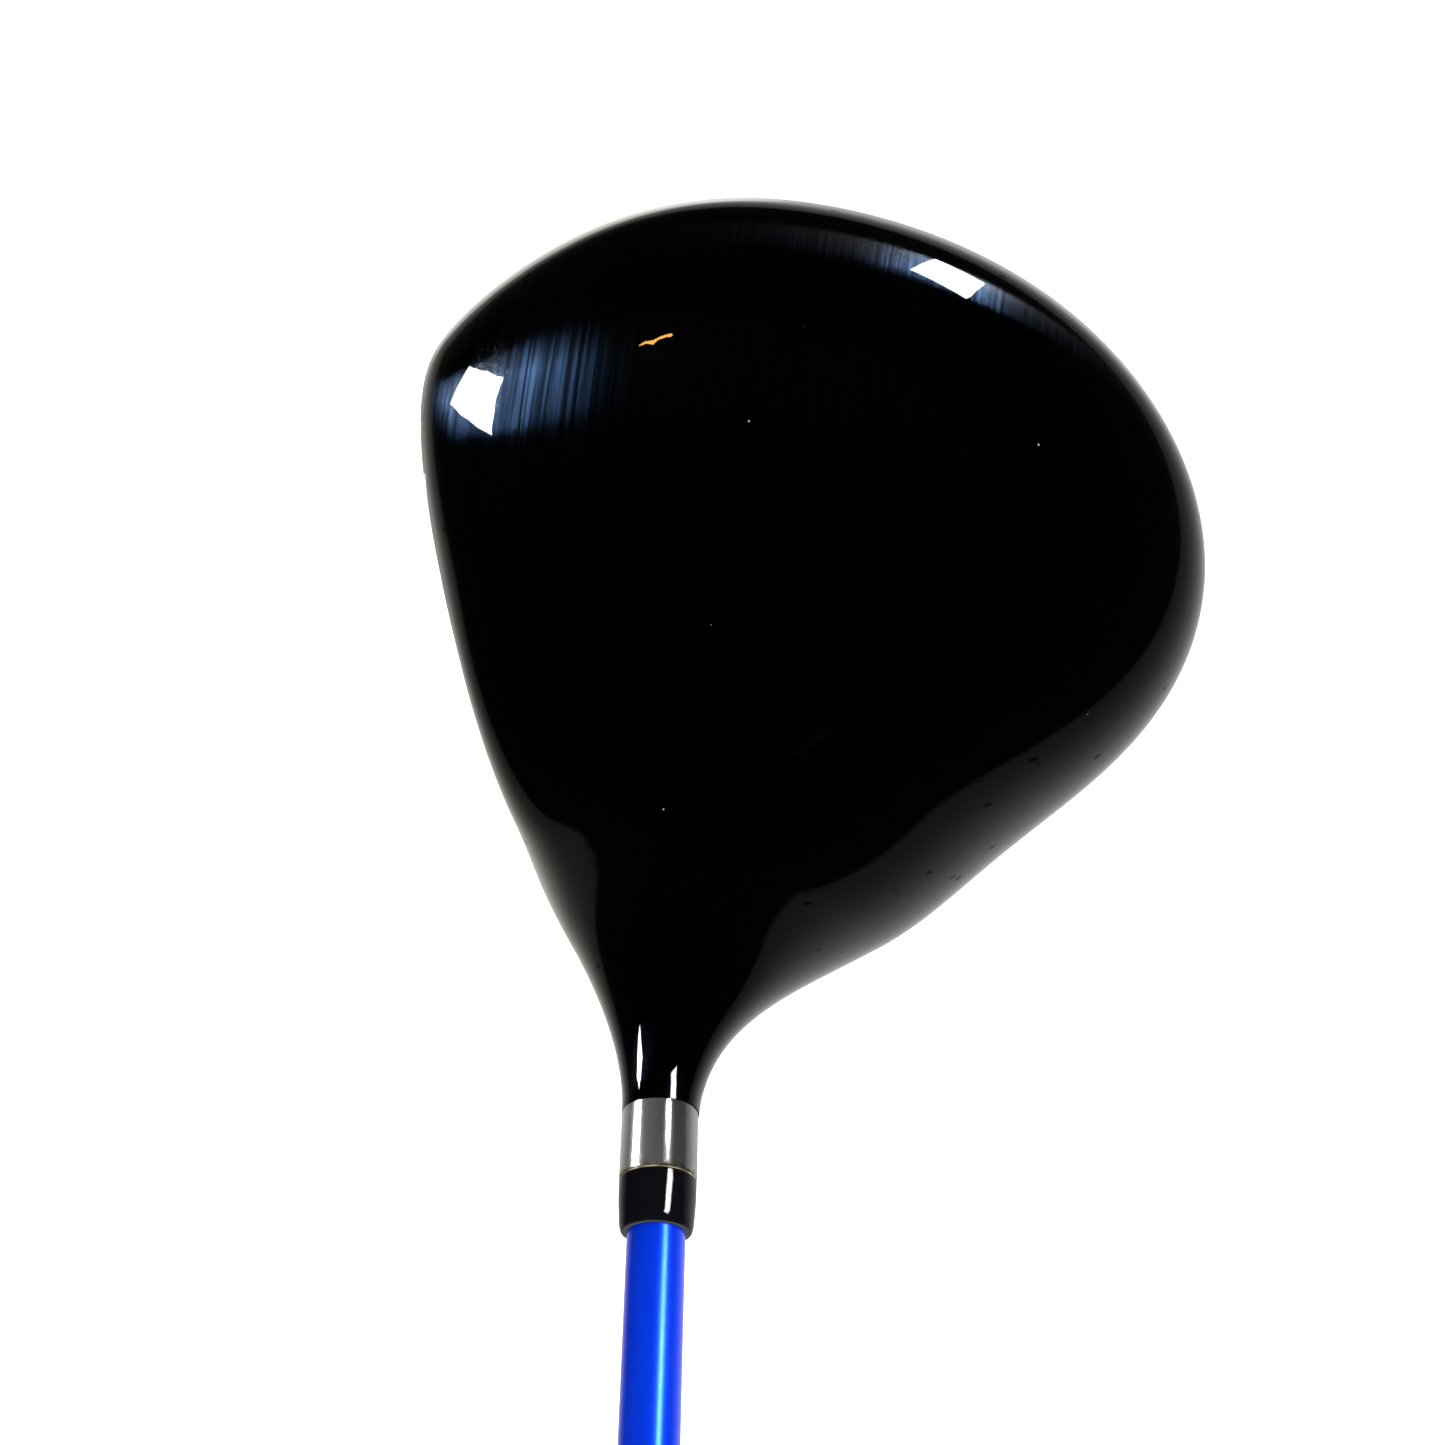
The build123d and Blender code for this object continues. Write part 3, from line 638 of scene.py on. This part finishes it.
class Finish:
    """One material with a Principled shader; a socket is linked to it, any other value is set."""

    def __init__(self, name, **values):
        self.material = bpy.data.materials.new(name)
        self.material.use_nodes = True
        self.tree = self.material.node_tree
        self.shader = self.tree.nodes["Principled BSDF"]
        place = self.add("ShaderNodeTexCoord").outputs["Object"]
        self.place = self.vector("MULTIPLY", place, (1 / MM,) * 3)
        self.set(self.shader, **values)

    def set(self, node, **values):
        for title, value in values.items():
            socket = node.inputs[title.replace("_", " ")]
            if isinstance(value, bpy.types.NodeSocket):
                self.tree.links.new(value, socket)
            else:
                socket.default_value = value

    def finish(self, **values):
        self.set(self.shader, **values)
        return self.material

    def add(self, kind, **settings):
        node = self.tree.nodes.new(kind)
        for title, value in settings.items():
            setattr(node, title, value)
        return node

    def vector(self, operation, first, second):
        node = self.add("ShaderNodeVectorMath", operation=operation)
        for socket, value in zip(node.inputs, (first, second)):
            self.put(socket, value)
        return node.outputs["Value" if operation in ("DOT_PRODUCT", "DISTANCE") else "Vector"]

    def put(self, socket, value):
        if isinstance(value, bpy.types.NodeSocket):
            self.tree.links.new(value, socket)
        else:
            socket.default_value = value

    def math(self, operation, first, second=0.0):
        node = self.add("ShaderNodeMath", operation=operation)
        self.put(node.inputs[0], first)
        self.put(node.inputs[1], second)
        return node.outputs[0]

    def stretched(self, scale, place=None):
        """Coordinates in millimetres times a scale per axis."""
        return self.vector("MULTIPLY", self.place if place is None else place, scale)

    def noise(self, place, detail=2.0, roughness=0.5, distortion=0.0, scale=1.0):
        node = self.add("ShaderNodeTexNoise")
        self.set(node, Scale=scale, Detail=detail, Roughness=roughness, Distortion=distortion,
                 Vector=place)
        return node.outputs[0]

    def cells(self, place, scale=1.0, feature="F1", output="Distance"):
        node = self.add("ShaderNodeTexVoronoi", feature=feature)
        self.set(node, Scale=scale, Vector=place)
        return node.outputs[output]

    def span(self, value, low, high, out_low=0.0, out_high=1.0):
        """Value from low..high to out_low..out_high, eased and held at the ends."""
        node = self.add("ShaderNodeMapRange", interpolation_type="SMOOTHSTEP")
        self.put(node.inputs["Value"], value)
        limits = {"From Min": low, "From Max": high, "To Min": out_low, "To Max": out_high}
        for title, number in limits.items():
            node.inputs[title].default_value = number
        return node.outputs[0]

    def blend(self, share, first, second):
        """Colour from first to second by share."""
        node = self.add("ShaderNodeMix", data_type="RGBA")
        self.put(node.inputs["Factor"], share)
        for title, value in (("A", first), ("B", second)):
            socket = next(s for s in node.inputs if s.name == title and s.type == "RGBA")
            self.put(socket, value)
        return next(s for s in node.outputs if s.type == "RGBA")

    def bump(self, height, depth, strength=1.0, over=None):
        """Normal from a height of 0..1 that stands for depth millimetres."""
        node = self.add("ShaderNodeBump")
        self.set(node, Strength=strength, Distance=depth * MM, Height=height)
        if over is not None:
            self.set(node, Normal=over)
        return node.outputs["Normal"]

    def fixed(self, numbers):
        node = self.add("ShaderNodeCombineXYZ")
        for socket, value in zip(node.inputs, numbers):
            socket.default_value = float(value)
        return node.outputs[0]

    def about_shaft(self):
        """Coordinates in millimetres across the shaft (two) and along it."""
        offset = self.vector("SUBTRACT", self.place, tuple(float(v) for v in GROUND))
        node = self.add("ShaderNodeCombineXYZ")
        for socket, axis in zip(node.inputs, (SIDE, OTHER, AXIS)):
            self.put(socket, self.vector("DOT_PRODUCT", offset, tuple(float(v) for v in axis)))
        return node.outputs[0]

    def parts(self, place):
        node = self.add("ShaderNodeSeparateXYZ")
        self.put(node.inputs[0], place)
        return node.outputs


def colour(red, green, blue):
    return (red, green, blue, 1.0)


GRAIN_ALONG = (0.954, -0.3, 0.0)
GRAIN_ACROSS = (0.3, 0.954, 0.0)
# Where the two window highlights fall on the crown: the centres of the painted sheen in the lacquer's
# base colour.
FRONT_PAINTED_SHEEN = (-37.0, -21.5, 47.0)
BACK_PAINTED_SHEEN = (-39.8, 44.0, 39.0)


def painted_sheen_gain(make):
    """Painted sheen: how much the lacquer's blue base colour is raised, full beside the two window
    highlights and faint elsewhere.
    """
    front_gap = make.vector("DISTANCE", make.place, FRONT_PAINTED_SHEEN)
    back_gap = make.vector("DISTANCE", make.place, BACK_PAINTED_SHEEN)
    front_rise = make.span(front_gap, 4.0, 10.0, 0.5, 1.8)
    front_fall = make.span(front_gap, 10.0, 23.0, 1.0, 0.05)
    back_fall = make.span(back_gap, 6.0, 13.0, 0.6, 0.05)
    return make.math("MAXIMUM", make.math("MULTIPLY", front_rise, front_fall), back_fall)


def scratch_lines(make):
    """Thin winding scratches in patches, 1 on a line and 0 beside it."""
    swirl = make.noise(make.stretched((0.9, 0.5, 0.7)), detail=2, roughness=0.6, distortion=1.5)
    off_centre = make.math("ABSOLUTE", make.math("SUBTRACT", swirl, 0.5))
    patch = make.span(make.noise(make.place, detail=3, scale=0.09), 0.42, 0.6)
    return make.math("MULTIPLY", make.span(off_centre, 0.0, 0.014, 1.0, 0.0), patch)


def dirt_spots(make):
    """Small dark spots in patches that take the gloss away."""
    spots = make.span(make.cells(make.stretched((0.3, 0.17, 0.3))), 0.09, 0.18, 0.85, 0.0)
    patch = make.span(make.noise(make.place, detail=1, scale=0.07), 0.5, 0.58)
    return make.math("MULTIPLY", spots, patch)


def lacquer_material(name, tint):
    """Black lacquer over brushed titanium under a clear coat, with scratches, dirt and dust, and a blue
    sheen painted into the base colour beside the two window highlights.
    """
    make = Finish(name, Anisotropic=1.0, Coat_IOR=1.5)
    make.set(make.shader, Tangent=make.fixed(GRAIN_ACROSS))
    grain_place = make.add("ShaderNodeCombineXYZ")
    make.put(grain_place.inputs[0], make.vector("DOT_PRODUCT", make.place, GRAIN_ALONG))
    make.put(grain_place.inputs[1], make.vector("DOT_PRODUCT", make.place, GRAIN_ACROSS))
    brushed = grain_place.outputs[0]
    fine = make.noise(make.stretched((0.03, 3.2, 1.0), brushed), detail=3, roughness=0.7)
    bands = make.noise(make.stretched((0.02, 1.5, 1.0), brushed), detail=4)
    streaks_and_painted_sheen = make.math("MULTIPLY", make.span(bands, 0.36, 0.64, 0.35, 1.5),
                        make.span(fine, 0.35, 0.65, 0.6, 1.4))
    # Painted sheen: the grain streaks' colour is raised beside the window highlights and faded
    # elsewhere.
    streaks_and_painted_sheen = make.math("MULTIPLY", streaks_and_painted_sheen, painted_sheen_gain(make))
    dust = make.span(make.cells(make.place, scale=0.13), 0.012, 0.022, 1.0, 0.0)
    polish = make.span(make.noise(make.place, detail=4, scale=0.5), 0.35, 0.75, 0.01, 0.022)
    marks = make.math("MULTIPLY", make.math("MAXIMUM", dust, scratch_lines(make)), 0.14)
    return make.finish(
        Base_Color=make.blend(dust, make.vector("MULTIPLY", streaks_and_painted_sheen, tint), colour(0.3, 0.3, 0.3)),
        Metallic=make.math("SUBTRACT", 1.0, dust),
        Coat_Weight=make.math("SUBTRACT", 1.0, dirt_spots(make)),
        Roughness=make.span(bands, 0.3, 0.7, 0.155, 0.185),
        Normal=make.bump(fine, 0.002),
        Coat_Roughness=make.math("ADD", polish, marks),
        Coat_Normal=make.bump(make.noise(make.place, scale=0.25), 0.012),
    )


def shaded(tone, share):
    """The same colour, lighter or darker by a share."""
    return colour(*[min(1, value * share) for value in tone[:3]])


def metal_material(name, tone, across, grain_scale):
    """Ground metal: grain lines, soft blotches and a few deeper marks."""
    make = Finish(name, Metallic=1.0, Anisotropic=0.6)
    grain = make.noise(make.stretched(grain_scale), detail=4, roughness=0.65)
    cloud = make.noise(make.place, detail=3, scale=0.35)
    nicks = make.span(make.cells(make.stretched((0.8, 0.5, 1.1)), scale=0.6), 0.03, 0.07, 1.0, 0.0)
    light = make.blend(cloud, shaded(tone, 0.88), shaded(tone, 1.1))
    base = make.blend(nicks, light, shaded(tone, 0.45))
    return make.finish(
        Base_Color=base,
        Tangent=make.fixed(across),
        Roughness=make.span(grain, 0.3, 0.7, 0.22, 0.32),
        Normal=make.bump(nicks, -0.02, over=make.bump(grain, 0.004)),
    )


def ring_material():
    """Turned ring: grain runs round, colours stay grey and smudges sit near the glue line."""
    make = Finish("ring_metal", Metallic=0.94, Anisotropic=0.35)
    shaft_place = make.about_shaft()
    grain = make.noise(make.stretched((0.12, 0.12, 9.0), shaft_place), detail=4, roughness=0.7)
    speckle = make.noise(make.place, detail=2, scale=5.0)
    cloud = make.noise(make.place, detail=3, scale=0.6)
    tone = make.blend(cloud, colour(0.47, 0.46, 0.45), colour(0.56, 0.55, 0.54))
    along = make.parts(shaft_place)[2]
    smudge = make.math("MULTIPLY", make.span(along, HOSEL_TOP - 1.2, HOSEL_TOP - 0.2),
                       make.span(make.noise(make.place, detail=4, scale=1.3), 0.45, 0.6))
    tone = make.blend(smudge, tone, colour(0.26, 0.2, 0.1))
    return make.finish(
        Base_Color=tone,
        Tangent=make.fixed(AXIS),
        Roughness=make.span(speckle, 0.3, 0.7, 0.12, 0.19),
        Normal=make.bump(speckle, 0.007, over=make.bump(grain, 0.003)),
    )


def ferrule_material():
    """Polished black plastic with polishing rings and rubbed edges."""
    make = Finish("ferrule_plastic", Base_Color=colour(0.002, 0.0021, 0.003), IOR=1.5)
    shaft_place = make.about_shaft()
    rings_round = make.noise(make.stretched((0.25, 0.25, 4.5), shaft_place), detail=4, roughness=0.75)
    speckle = make.noise(make.place, detail=3, scale=4.0)
    scuffs = make.span(make.noise(make.place, detail=4, scale=0.8), 0.5, 0.68)
    return make.finish(
        Roughness=make.span(make.math("ADD", speckle, scuffs), 0.4, 1.5, 0.03, 0.12),
        Normal=make.bump(speckle, 0.004, over=make.bump(rings_round, 0.005)),
    )


def shaft_material():
    """Candy blue: a mirror-like metallic layer with fine flakes under clear lacquer."""
    make = Finish("shaft_lacquer", Metallic=0.65, Coat_Weight=1.0, Coat_IOR=1.5)
    flakes = make.cells(make.place, scale=9.0, output="Color")
    shade = make.parts(flakes)[0]
    drift = make.noise(make.stretched((0.3, 0.3, 0.03), make.about_shaft()), detail=3)
    deep = make.blend(drift, colour(0.0, 0.03, 0.85), colour(0.0, 0.044, 0.95))
    base = make.blend(make.math("MULTIPLY", shade, 0.25), deep, colour(0.01, 0.13, 1.0))
    return make.finish(
        Base_Color=base,
        Roughness=make.span(drift, 0.3, 0.7, 0.2, 0.26),
        Normal=make.bump(shade, 0.004),
        Coat_Roughness=make.span(make.noise(make.place, detail=3, scale=0.8), 0.35, 0.7, 0.03, 0.07),
        Coat_Normal=make.bump(make.noise(make.place, detail=2, scale=1.1), 0.004),
    )


def resin_material(name, light, deep, rough):
    """Cast resin or plastic with soft clouds of a deeper colour."""
    make = Finish(name, IOR=1.5)
    cloud = make.span(make.noise(make.place, detail=4, scale=0.45), 0.38, 0.62)
    return make.finish(
        Base_Color=make.blend(cloud, colour(*deep), colour(*light)),
        Roughness=make.span(make.noise(make.place, detail=3, scale=2.5), 0.3, 0.7, *rough),
        Normal=make.bump(make.noise(make.place, detail=4, scale=2.0), 0.03),
    )


def paint_material(name, tone, dark, worn_from):
    """Thin paint with worn patches that show what lies under it."""
    make = Finish(name, IOR=1.5)
    patches = make.noise(make.place, detail=5, scale=1.6, roughness=0.7)
    worn = make.span(patches, worn_from, worn_from + 0.06)
    tint = make.blend(make.noise(make.place, detail=3, scale=2.2), tone, shaded(tone, 0.6))
    return make.finish(
        Base_Color=make.blend(worn, tint, dark),
        Roughness=make.span(make.noise(make.place, detail=4, scale=3.0), 0.3, 0.7, 0.3, 0.5),
        Normal=make.bump(worn, -0.02),
    )


def rubber_material(name, tone, grit=3.5, depth=0.03):
    make = Finish(name, IOR=1.48)
    grain = make.noise(make.place, detail=5, roughness=0.7, scale=grit)
    dusty = make.span(make.noise(make.place, detail=4, scale=0.12), 0.45, 0.7)
    pale = colour(*[value * 1.3 + 0.002 for value in tone[:3]])
    return make.finish(
        Base_Color=make.blend(dusty, tone, pale),
        Roughness=make.span(grain, 0.3, 0.7, 0.55, 0.78),
        Normal=make.bump(grain, depth),
    )


def creped_material(name, tone):
    """Masking tape: fine ridges along its width, with painted shade darkening the valleys between them.
    """
    make = Finish(name, Roughness=0.8)
    ridges = make.noise(make.stretched((0.2, 0.2, 2.5), make.about_shaft()), detail=4)
    return make.finish(
        # Painted shade: the colour is darker where the ridges are low.
        Base_Color=make.blend(ridges, shaded(tone, 0.75), tone),
        Normal=make.bump(ridges, 0.06),
    )


SLOT_MATERIALS = {
    "crown_paint": lacquer_material("crown_lacquer", (0.0048, 0.0102, 0.0215)),
    "body_paint": lacquer_material("body_lacquer", (0.003, 0.006, 0.0125)),
    "face_metal": metal_material("face_titanium", (0.36, 0.36, 0.37), FACE_UP, (0.15, 3.5, 3.5)),
    "line_paint": paint_material("line_paint", colour(0.8, 0.8, 0.78), colour(0.3, 0.3, 0.3), 0.62),
    "hosel_metal": ring_material(),
    "ferrule_plastic": ferrule_material(),
    "shaft_lacquer": shaft_material(),
    "epoxy": resin_material("set_resin", (0.36, 0.3, 0.17), (0.08, 0.065, 0.04), (0.15, 0.35)),
    "mark_paint": paint_material("mark_paint", colour(0.5, 0.2, 0.03), colour(0.2, 0.07, 0.01), 0.64),
    "badge_metal": metal_material("badge_aluminium", (0.62, 0.62, 0.64), (0, 1, 0), (0.15, 4.0, 1.0)),
    "weight_steel": metal_material("weight_steel", (0.5, 0.5, 0.51), (0, 1, 0), (0.12, 3.0, 0.12)),
    "screw_steel": metal_material("screw_steel", (0.09, 0.09, 0.095), (0, 1, 0), (1.5, 1.5, 1.5)),
    "washer_rubber": rubber_material("washer_rubber", colour(0.02, 0.02, 0.02)),
    "compound": resin_material("damping_compound", (0.6, 0.45, 0.2), (0.35, 0.22, 0.08), (0.3, 0.5)),
    "plug_plastic": resin_material("plug_plastic", (0.8, 0.8, 0.77), (0.62, 0.62, 0.6), (0.4, 0.6)),
    "brass": metal_material("brass", (0.72, 0.5, 0.2), AXIS, (0.5, 0.5, 4.0)),
    "tape": creped_material("grip_tape", colour(0.8, 0.74, 0.55)),
    "grip_rubber": rubber_material("grip_rubber", colour(0.012, 0.012, 0.013), grit=2.6),
    "cap_rubber": rubber_material("cap_rubber", colour(0.014, 0.014, 0.015), grit=4.0, depth=0.02),
}
NODE_SLOTS = {
    "crown": "crown_paint", "head_body": "body_paint", "face_plate": "face_metal",
    "score_line_paint": "line_paint", "hosel_tube": "hosel_metal", "hosel_stop": "plug_plastic",
    "hosel_epoxy": "epoxy", "ferrule": "ferrule_plastic", "shaft": "shaft_lacquer",
    "tip_weight": "brass",
    "grip_tape": "tape", "grip": "grip_rubber", "grip_cap": "cap_rubber", "sole_badge": "badge_metal",
    "rear_weight": "weight_steel", "weight_screw": "screw_steel", "weight_washer": "washer_rubber",
    "damping_compound": "compound", "alignment_mark": "mark_paint",
}


def wear(obj, material):
    obj.data.materials.clear()
    obj.data.materials.append(material)


for node, slot_name in NODE_SLOTS.items():
    wear(frame["nodes"][node], SLOT_MATERIALS[slot_name])
for piece in (crown, body, stroke, tube, bond, ferrule, shaft, cap, grip):
    wear(piece, SLOT_MATERIALS[piece["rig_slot"]])


# ---- studio: floor, window panes, an overhead sun and the surroundings ----------------------------

def stage_mesh(name, points, faces, material):
    mesh = bpy.data.meshes.new(name)
    mesh.from_pydata([tuple(point) for point in points], [], faces)
    obj = bpy.data.objects.new(name, mesh)
    bpy.context.scene.collection.objects.link(obj)
    obj.data.materials.append(material)
    return obj


FLOOR_HALF = 30.0
FLOOR_GLOW = 0.3
floor_finish = Finish("studio_floor", Base_Color=colour(0.93, 0.93, 0.93), Roughness=0.9,
                      Specular_IOR_Level=0.0, Emission_Color=colour(1.0, 1.0, 1.0),
                      Emission_Strength=FLOOR_GLOW)
floor = stage_mesh("floor", [(-FLOOR_HALF, -FLOOR_HALF, 0), (FLOOR_HALF, -FLOOR_HALF, 0),
                             (FLOOR_HALF, FLOOR_HALF, 0), (-FLOOR_HALF, FLOOR_HALF, 0)],
                   [(0, 1, 2, 3)], floor_finish.material)
floor.visible_glossy = False
floor.visible_shadow = False


def glow_material(name, strength, tint=(1.0, 1.0, 1.0)):
    material = bpy.data.materials.new(name)
    material.use_nodes = True
    tree = material.node_tree
    tree.nodes.clear()
    glow = tree.nodes.new("ShaderNodeEmission")
    glow.inputs["Strength"].default_value = strength
    glow.inputs["Color"].default_value = colour(*tint)
    out = tree.nodes.new("ShaderNodeOutputMaterial")
    tree.links.new(glow.outputs[0], out.inputs["Surface"])
    return material


def panel(name, rays, strength, lights=(), tint=(1.0, 1.0, 1.0), reach=1.0):
    """A bright pane whose corners lie reach metres from points on the club, along given directions."""
    corners = []
    for start, direction in rays:
        start = np.array(start) * MM
        direction = np.array(direction)
        corners.append(start + direction / np.linalg.norm(direction) * reach)
    obj = stage_mesh(name, corners, [(0, 1, 2, 3)], glow_material(name, strength, tint))
    obj.visible_camera = False
    obj.visible_shadow = False
    lit = bpy.data.collections.new("lit by " + name)
    for piece in lights:
        lit.objects.link(piece)
    obj.light_linking.receiver_collection = lit
    return obj


carried_over = [frame["nodes"][node] for node in NODE_SLOTS if not frame["nodes"][node].hide_render]
HEAD_PIECES = [crown, body, stroke] + carried_over
PANE_STRENGTH = 60.0
SHAFT_PANE_STRENGTH = 100.0
DIM_PANE_STRENGTH = 26.0
SHAFT_PANE_TINT = (0.66, 0.95, 1.0)
RING_PANE_REACH = 1.5           # behind window_front, so that it hides nothing of it
panel("window_front", [
    ((-41.2, -22.4, 43.9), (-0.62, -0.79, 0.01)),
    ((-39.0, -17.7, 47.3), (-0.61, -0.69, 0.38)),
    ((-31.9, -20.1, 50.0), (-0.40, -0.73, 0.56)),
    ((-36.4, -26.2, 45.3), (-0.49, -0.87, 0.10)),
], PANE_STRENGTH, HEAD_PIECES + [tube])
panel("window_back", [
    ((-42.5, 42.3, 37.2), (-0.74, 0.49, -0.45)),
    ((-37.9, 48.6, 37.5), (-0.68, 0.61, -0.40)),
    ((-36.8, 46.1, 40.9), (-0.76, 0.65, 0.03)),
    ((-42.1, 39.2, 40.3), (-0.86, 0.51, -0.07)),
], PANE_STRENGTH, HEAD_PIECES + [tube])

SHAFT_POINT = (92.7, -18.8, 84.8)
panel("window_beside", [
    (SHAFT_POINT, (-0.70, 0.71, -0.12)),
    (SHAFT_POINT, (-0.62, 0.78, -0.12)),
    (SHAFT_POINT, (-0.60, 0.76, 0.30)),
    (SHAFT_POINT, (-0.68, 0.69, 0.30)),
], SHAFT_PANE_STRENGTH, [shaft, grip, cap], SHAFT_PANE_TINT)
panel("window_ring", [
    (SHAFT_POINT, (-0.78, -0.62, -0.16)),
    (SHAFT_POINT, (-0.59, -0.77, -0.28)),
    (SHAFT_POINT, (-0.43, -0.90, 0.15)),
    (SHAFT_POINT, (-0.62, -0.75, 0.27)),
], DIM_PANE_STRENGTH, [tube], reach=RING_PANE_REACH)
panel("window_wide", [
    (SHAFT_POINT, (-0.77, 0.63, -0.14)),
    (SHAFT_POINT, (-0.60, 0.79, -0.14)),
    (SHAFT_POINT, (-0.58, 0.77, 0.34)),
    (SHAFT_POINT, (-0.75, 0.62, 0.34)),
], DIM_PANE_STRENGTH, [ferrule, bond, body])

SUN_WIDTH = math.radians(80.0)
SUN_ENERGY = 6.5
overhead = bpy.data.lights.new("overhead", "SUN")
overhead.angle = SUN_WIDTH
overhead.energy = SUN_ENERGY
overhead_lamp = bpy.data.objects.new("overhead", overhead)
overhead_lamp.visible_glossy = False
overhead_lamp.visible_camera = False
bpy.context.scene.collection.objects.link(overhead_lamp)

DARK_ROOM = 0.008


def surroundings():
    """White below and beyond the heel, near-black elsewhere; the camera itself sees plain white."""
    world = bpy.data.worlds.new("studio")
    bpy.context.scene.world = world
    world.use_nodes = True
    tree = world.node_tree
    tree.nodes.clear()

    def add(kind, **settings):
        node = tree.nodes.new(kind)
        for title, value in settings.items():
            setattr(node, title, value)
        return node

    place = add("ShaderNodeTexCoord").outputs["Generated"]

    def toward(direction, low, high, out_low, out_high):
        product = add("ShaderNodeVectorMath", operation="DOT_PRODUCT")
        tree.links.new(place, product.inputs[0])
        product.inputs[1].default_value = direction
        fade = add("ShaderNodeMapRange", interpolation_type="SMOOTHSTEP")
        tree.links.new(product.outputs["Value"], fade.inputs["Value"])
        limits = {"From Min": low, "From Max": high, "To Min": out_low, "To Max": out_high}
        for title, number in limits.items():
            fade.inputs[title].default_value = number
        return fade.outputs[0]

    def joined(operation, first, second):
        node = add("ShaderNodeMath", operation=operation)
        tree.links.new(first, node.inputs[0])
        if isinstance(second, bpy.types.NodeSocket):
            tree.links.new(second, node.inputs[1])
        else:
            node.inputs[1].default_value = second
        return node.outputs[0]

    heel_side = (0.82, -0.1, -0.95)
    edge = toward(heel_side, 0.25, 0.31, 0.0, 0.14)
    swell = toward(heel_side, 0.3, 1.1, 0.0, 0.46)
    below = toward((-0.15, -0.35, -0.92), 0.93, 0.97, 0.0, 1.0)
    level = joined("MAXIMUM", joined("MAXIMUM", joined("ADD", edge, swell), below), DARK_ROOM)
    side = toward((0.0, 1.0, 0.0), -0.8, 0.8, 0.0, 1.0)
    tint = add("ShaderNodeMix", data_type="RGBA")
    tree.links.new(side, tint.inputs[0])
    warm, cool = (socket for socket in tint.inputs if socket.type == "RGBA")
    warm.default_value = colour(1.0, 0.97, 0.89)
    cool.default_value = colour(0.94, 0.97, 1.0)
    tinted = next(socket for socket in tint.outputs if socket.type == "RGBA")
    dim = add("ShaderNodeBackground")
    tree.links.new(level, dim.inputs["Strength"])
    tree.links.new(tinted, dim.inputs["Color"])
    plain = add("ShaderNodeBackground")
    plain.inputs["Color"].default_value = colour(1.0, 1.0, 1.0)
    choose = add("ShaderNodeMixShader")
    tree.links.new(add("ShaderNodeLightPath").outputs["Is Camera Ray"], choose.inputs["Fac"])
    tree.links.new(dim.outputs[0], choose.inputs[1])
    tree.links.new(plain.outputs[0], choose.inputs[2])
    tree.links.new(choose.outputs[0], add("ShaderNodeOutputWorld").inputs["Surface"])


surroundings()


# ---- camera --------------------------------------------------------------------------------------

CAMERA_PLACE = Vector((-0.08766, 0.06313, 0.32150))
TOE_TILT = math.radians(20.98)
BACK_TILT = math.radians(11.82)
ROLL = math.radians(-12.33)
FOCAL_LENGTH = 50.48


def camera_turn():
    """Rotation whose columns are the camera's right, up and backward directions."""
    back = Vector((-math.sin(TOE_TILT) * math.cos(BACK_TILT), math.sin(BACK_TILT),
                   math.cos(TOE_TILT) * math.cos(BACK_TILT)))
    toe = Vector((-1, 0, 0))
    level_up = (toe - back * toe.dot(back)).normalized()
    level_right = level_up.cross(back)
    right = level_right * math.cos(ROLL) + level_up * math.sin(ROLL)
    up = level_up * math.cos(ROLL) - level_right * math.sin(ROLL)
    return Matrix((right, up, back)).transposed()


lens = bpy.data.cameras.new("camera")
lens.lens = FOCAL_LENGTH
lens.sensor_width = 36.0
lens.clip_start = 0.02
camera = bpy.data.objects.new("camera", lens)
camera.matrix_world = Matrix.Translation(CAMERA_PLACE) @ camera_turn().to_4x4()
bpy.context.scene.collection.objects.link(camera)
scene = bpy.context.scene
scene.camera = camera
scene.view_settings.view_transform = "Standard"
scene.view_settings.look = "None"
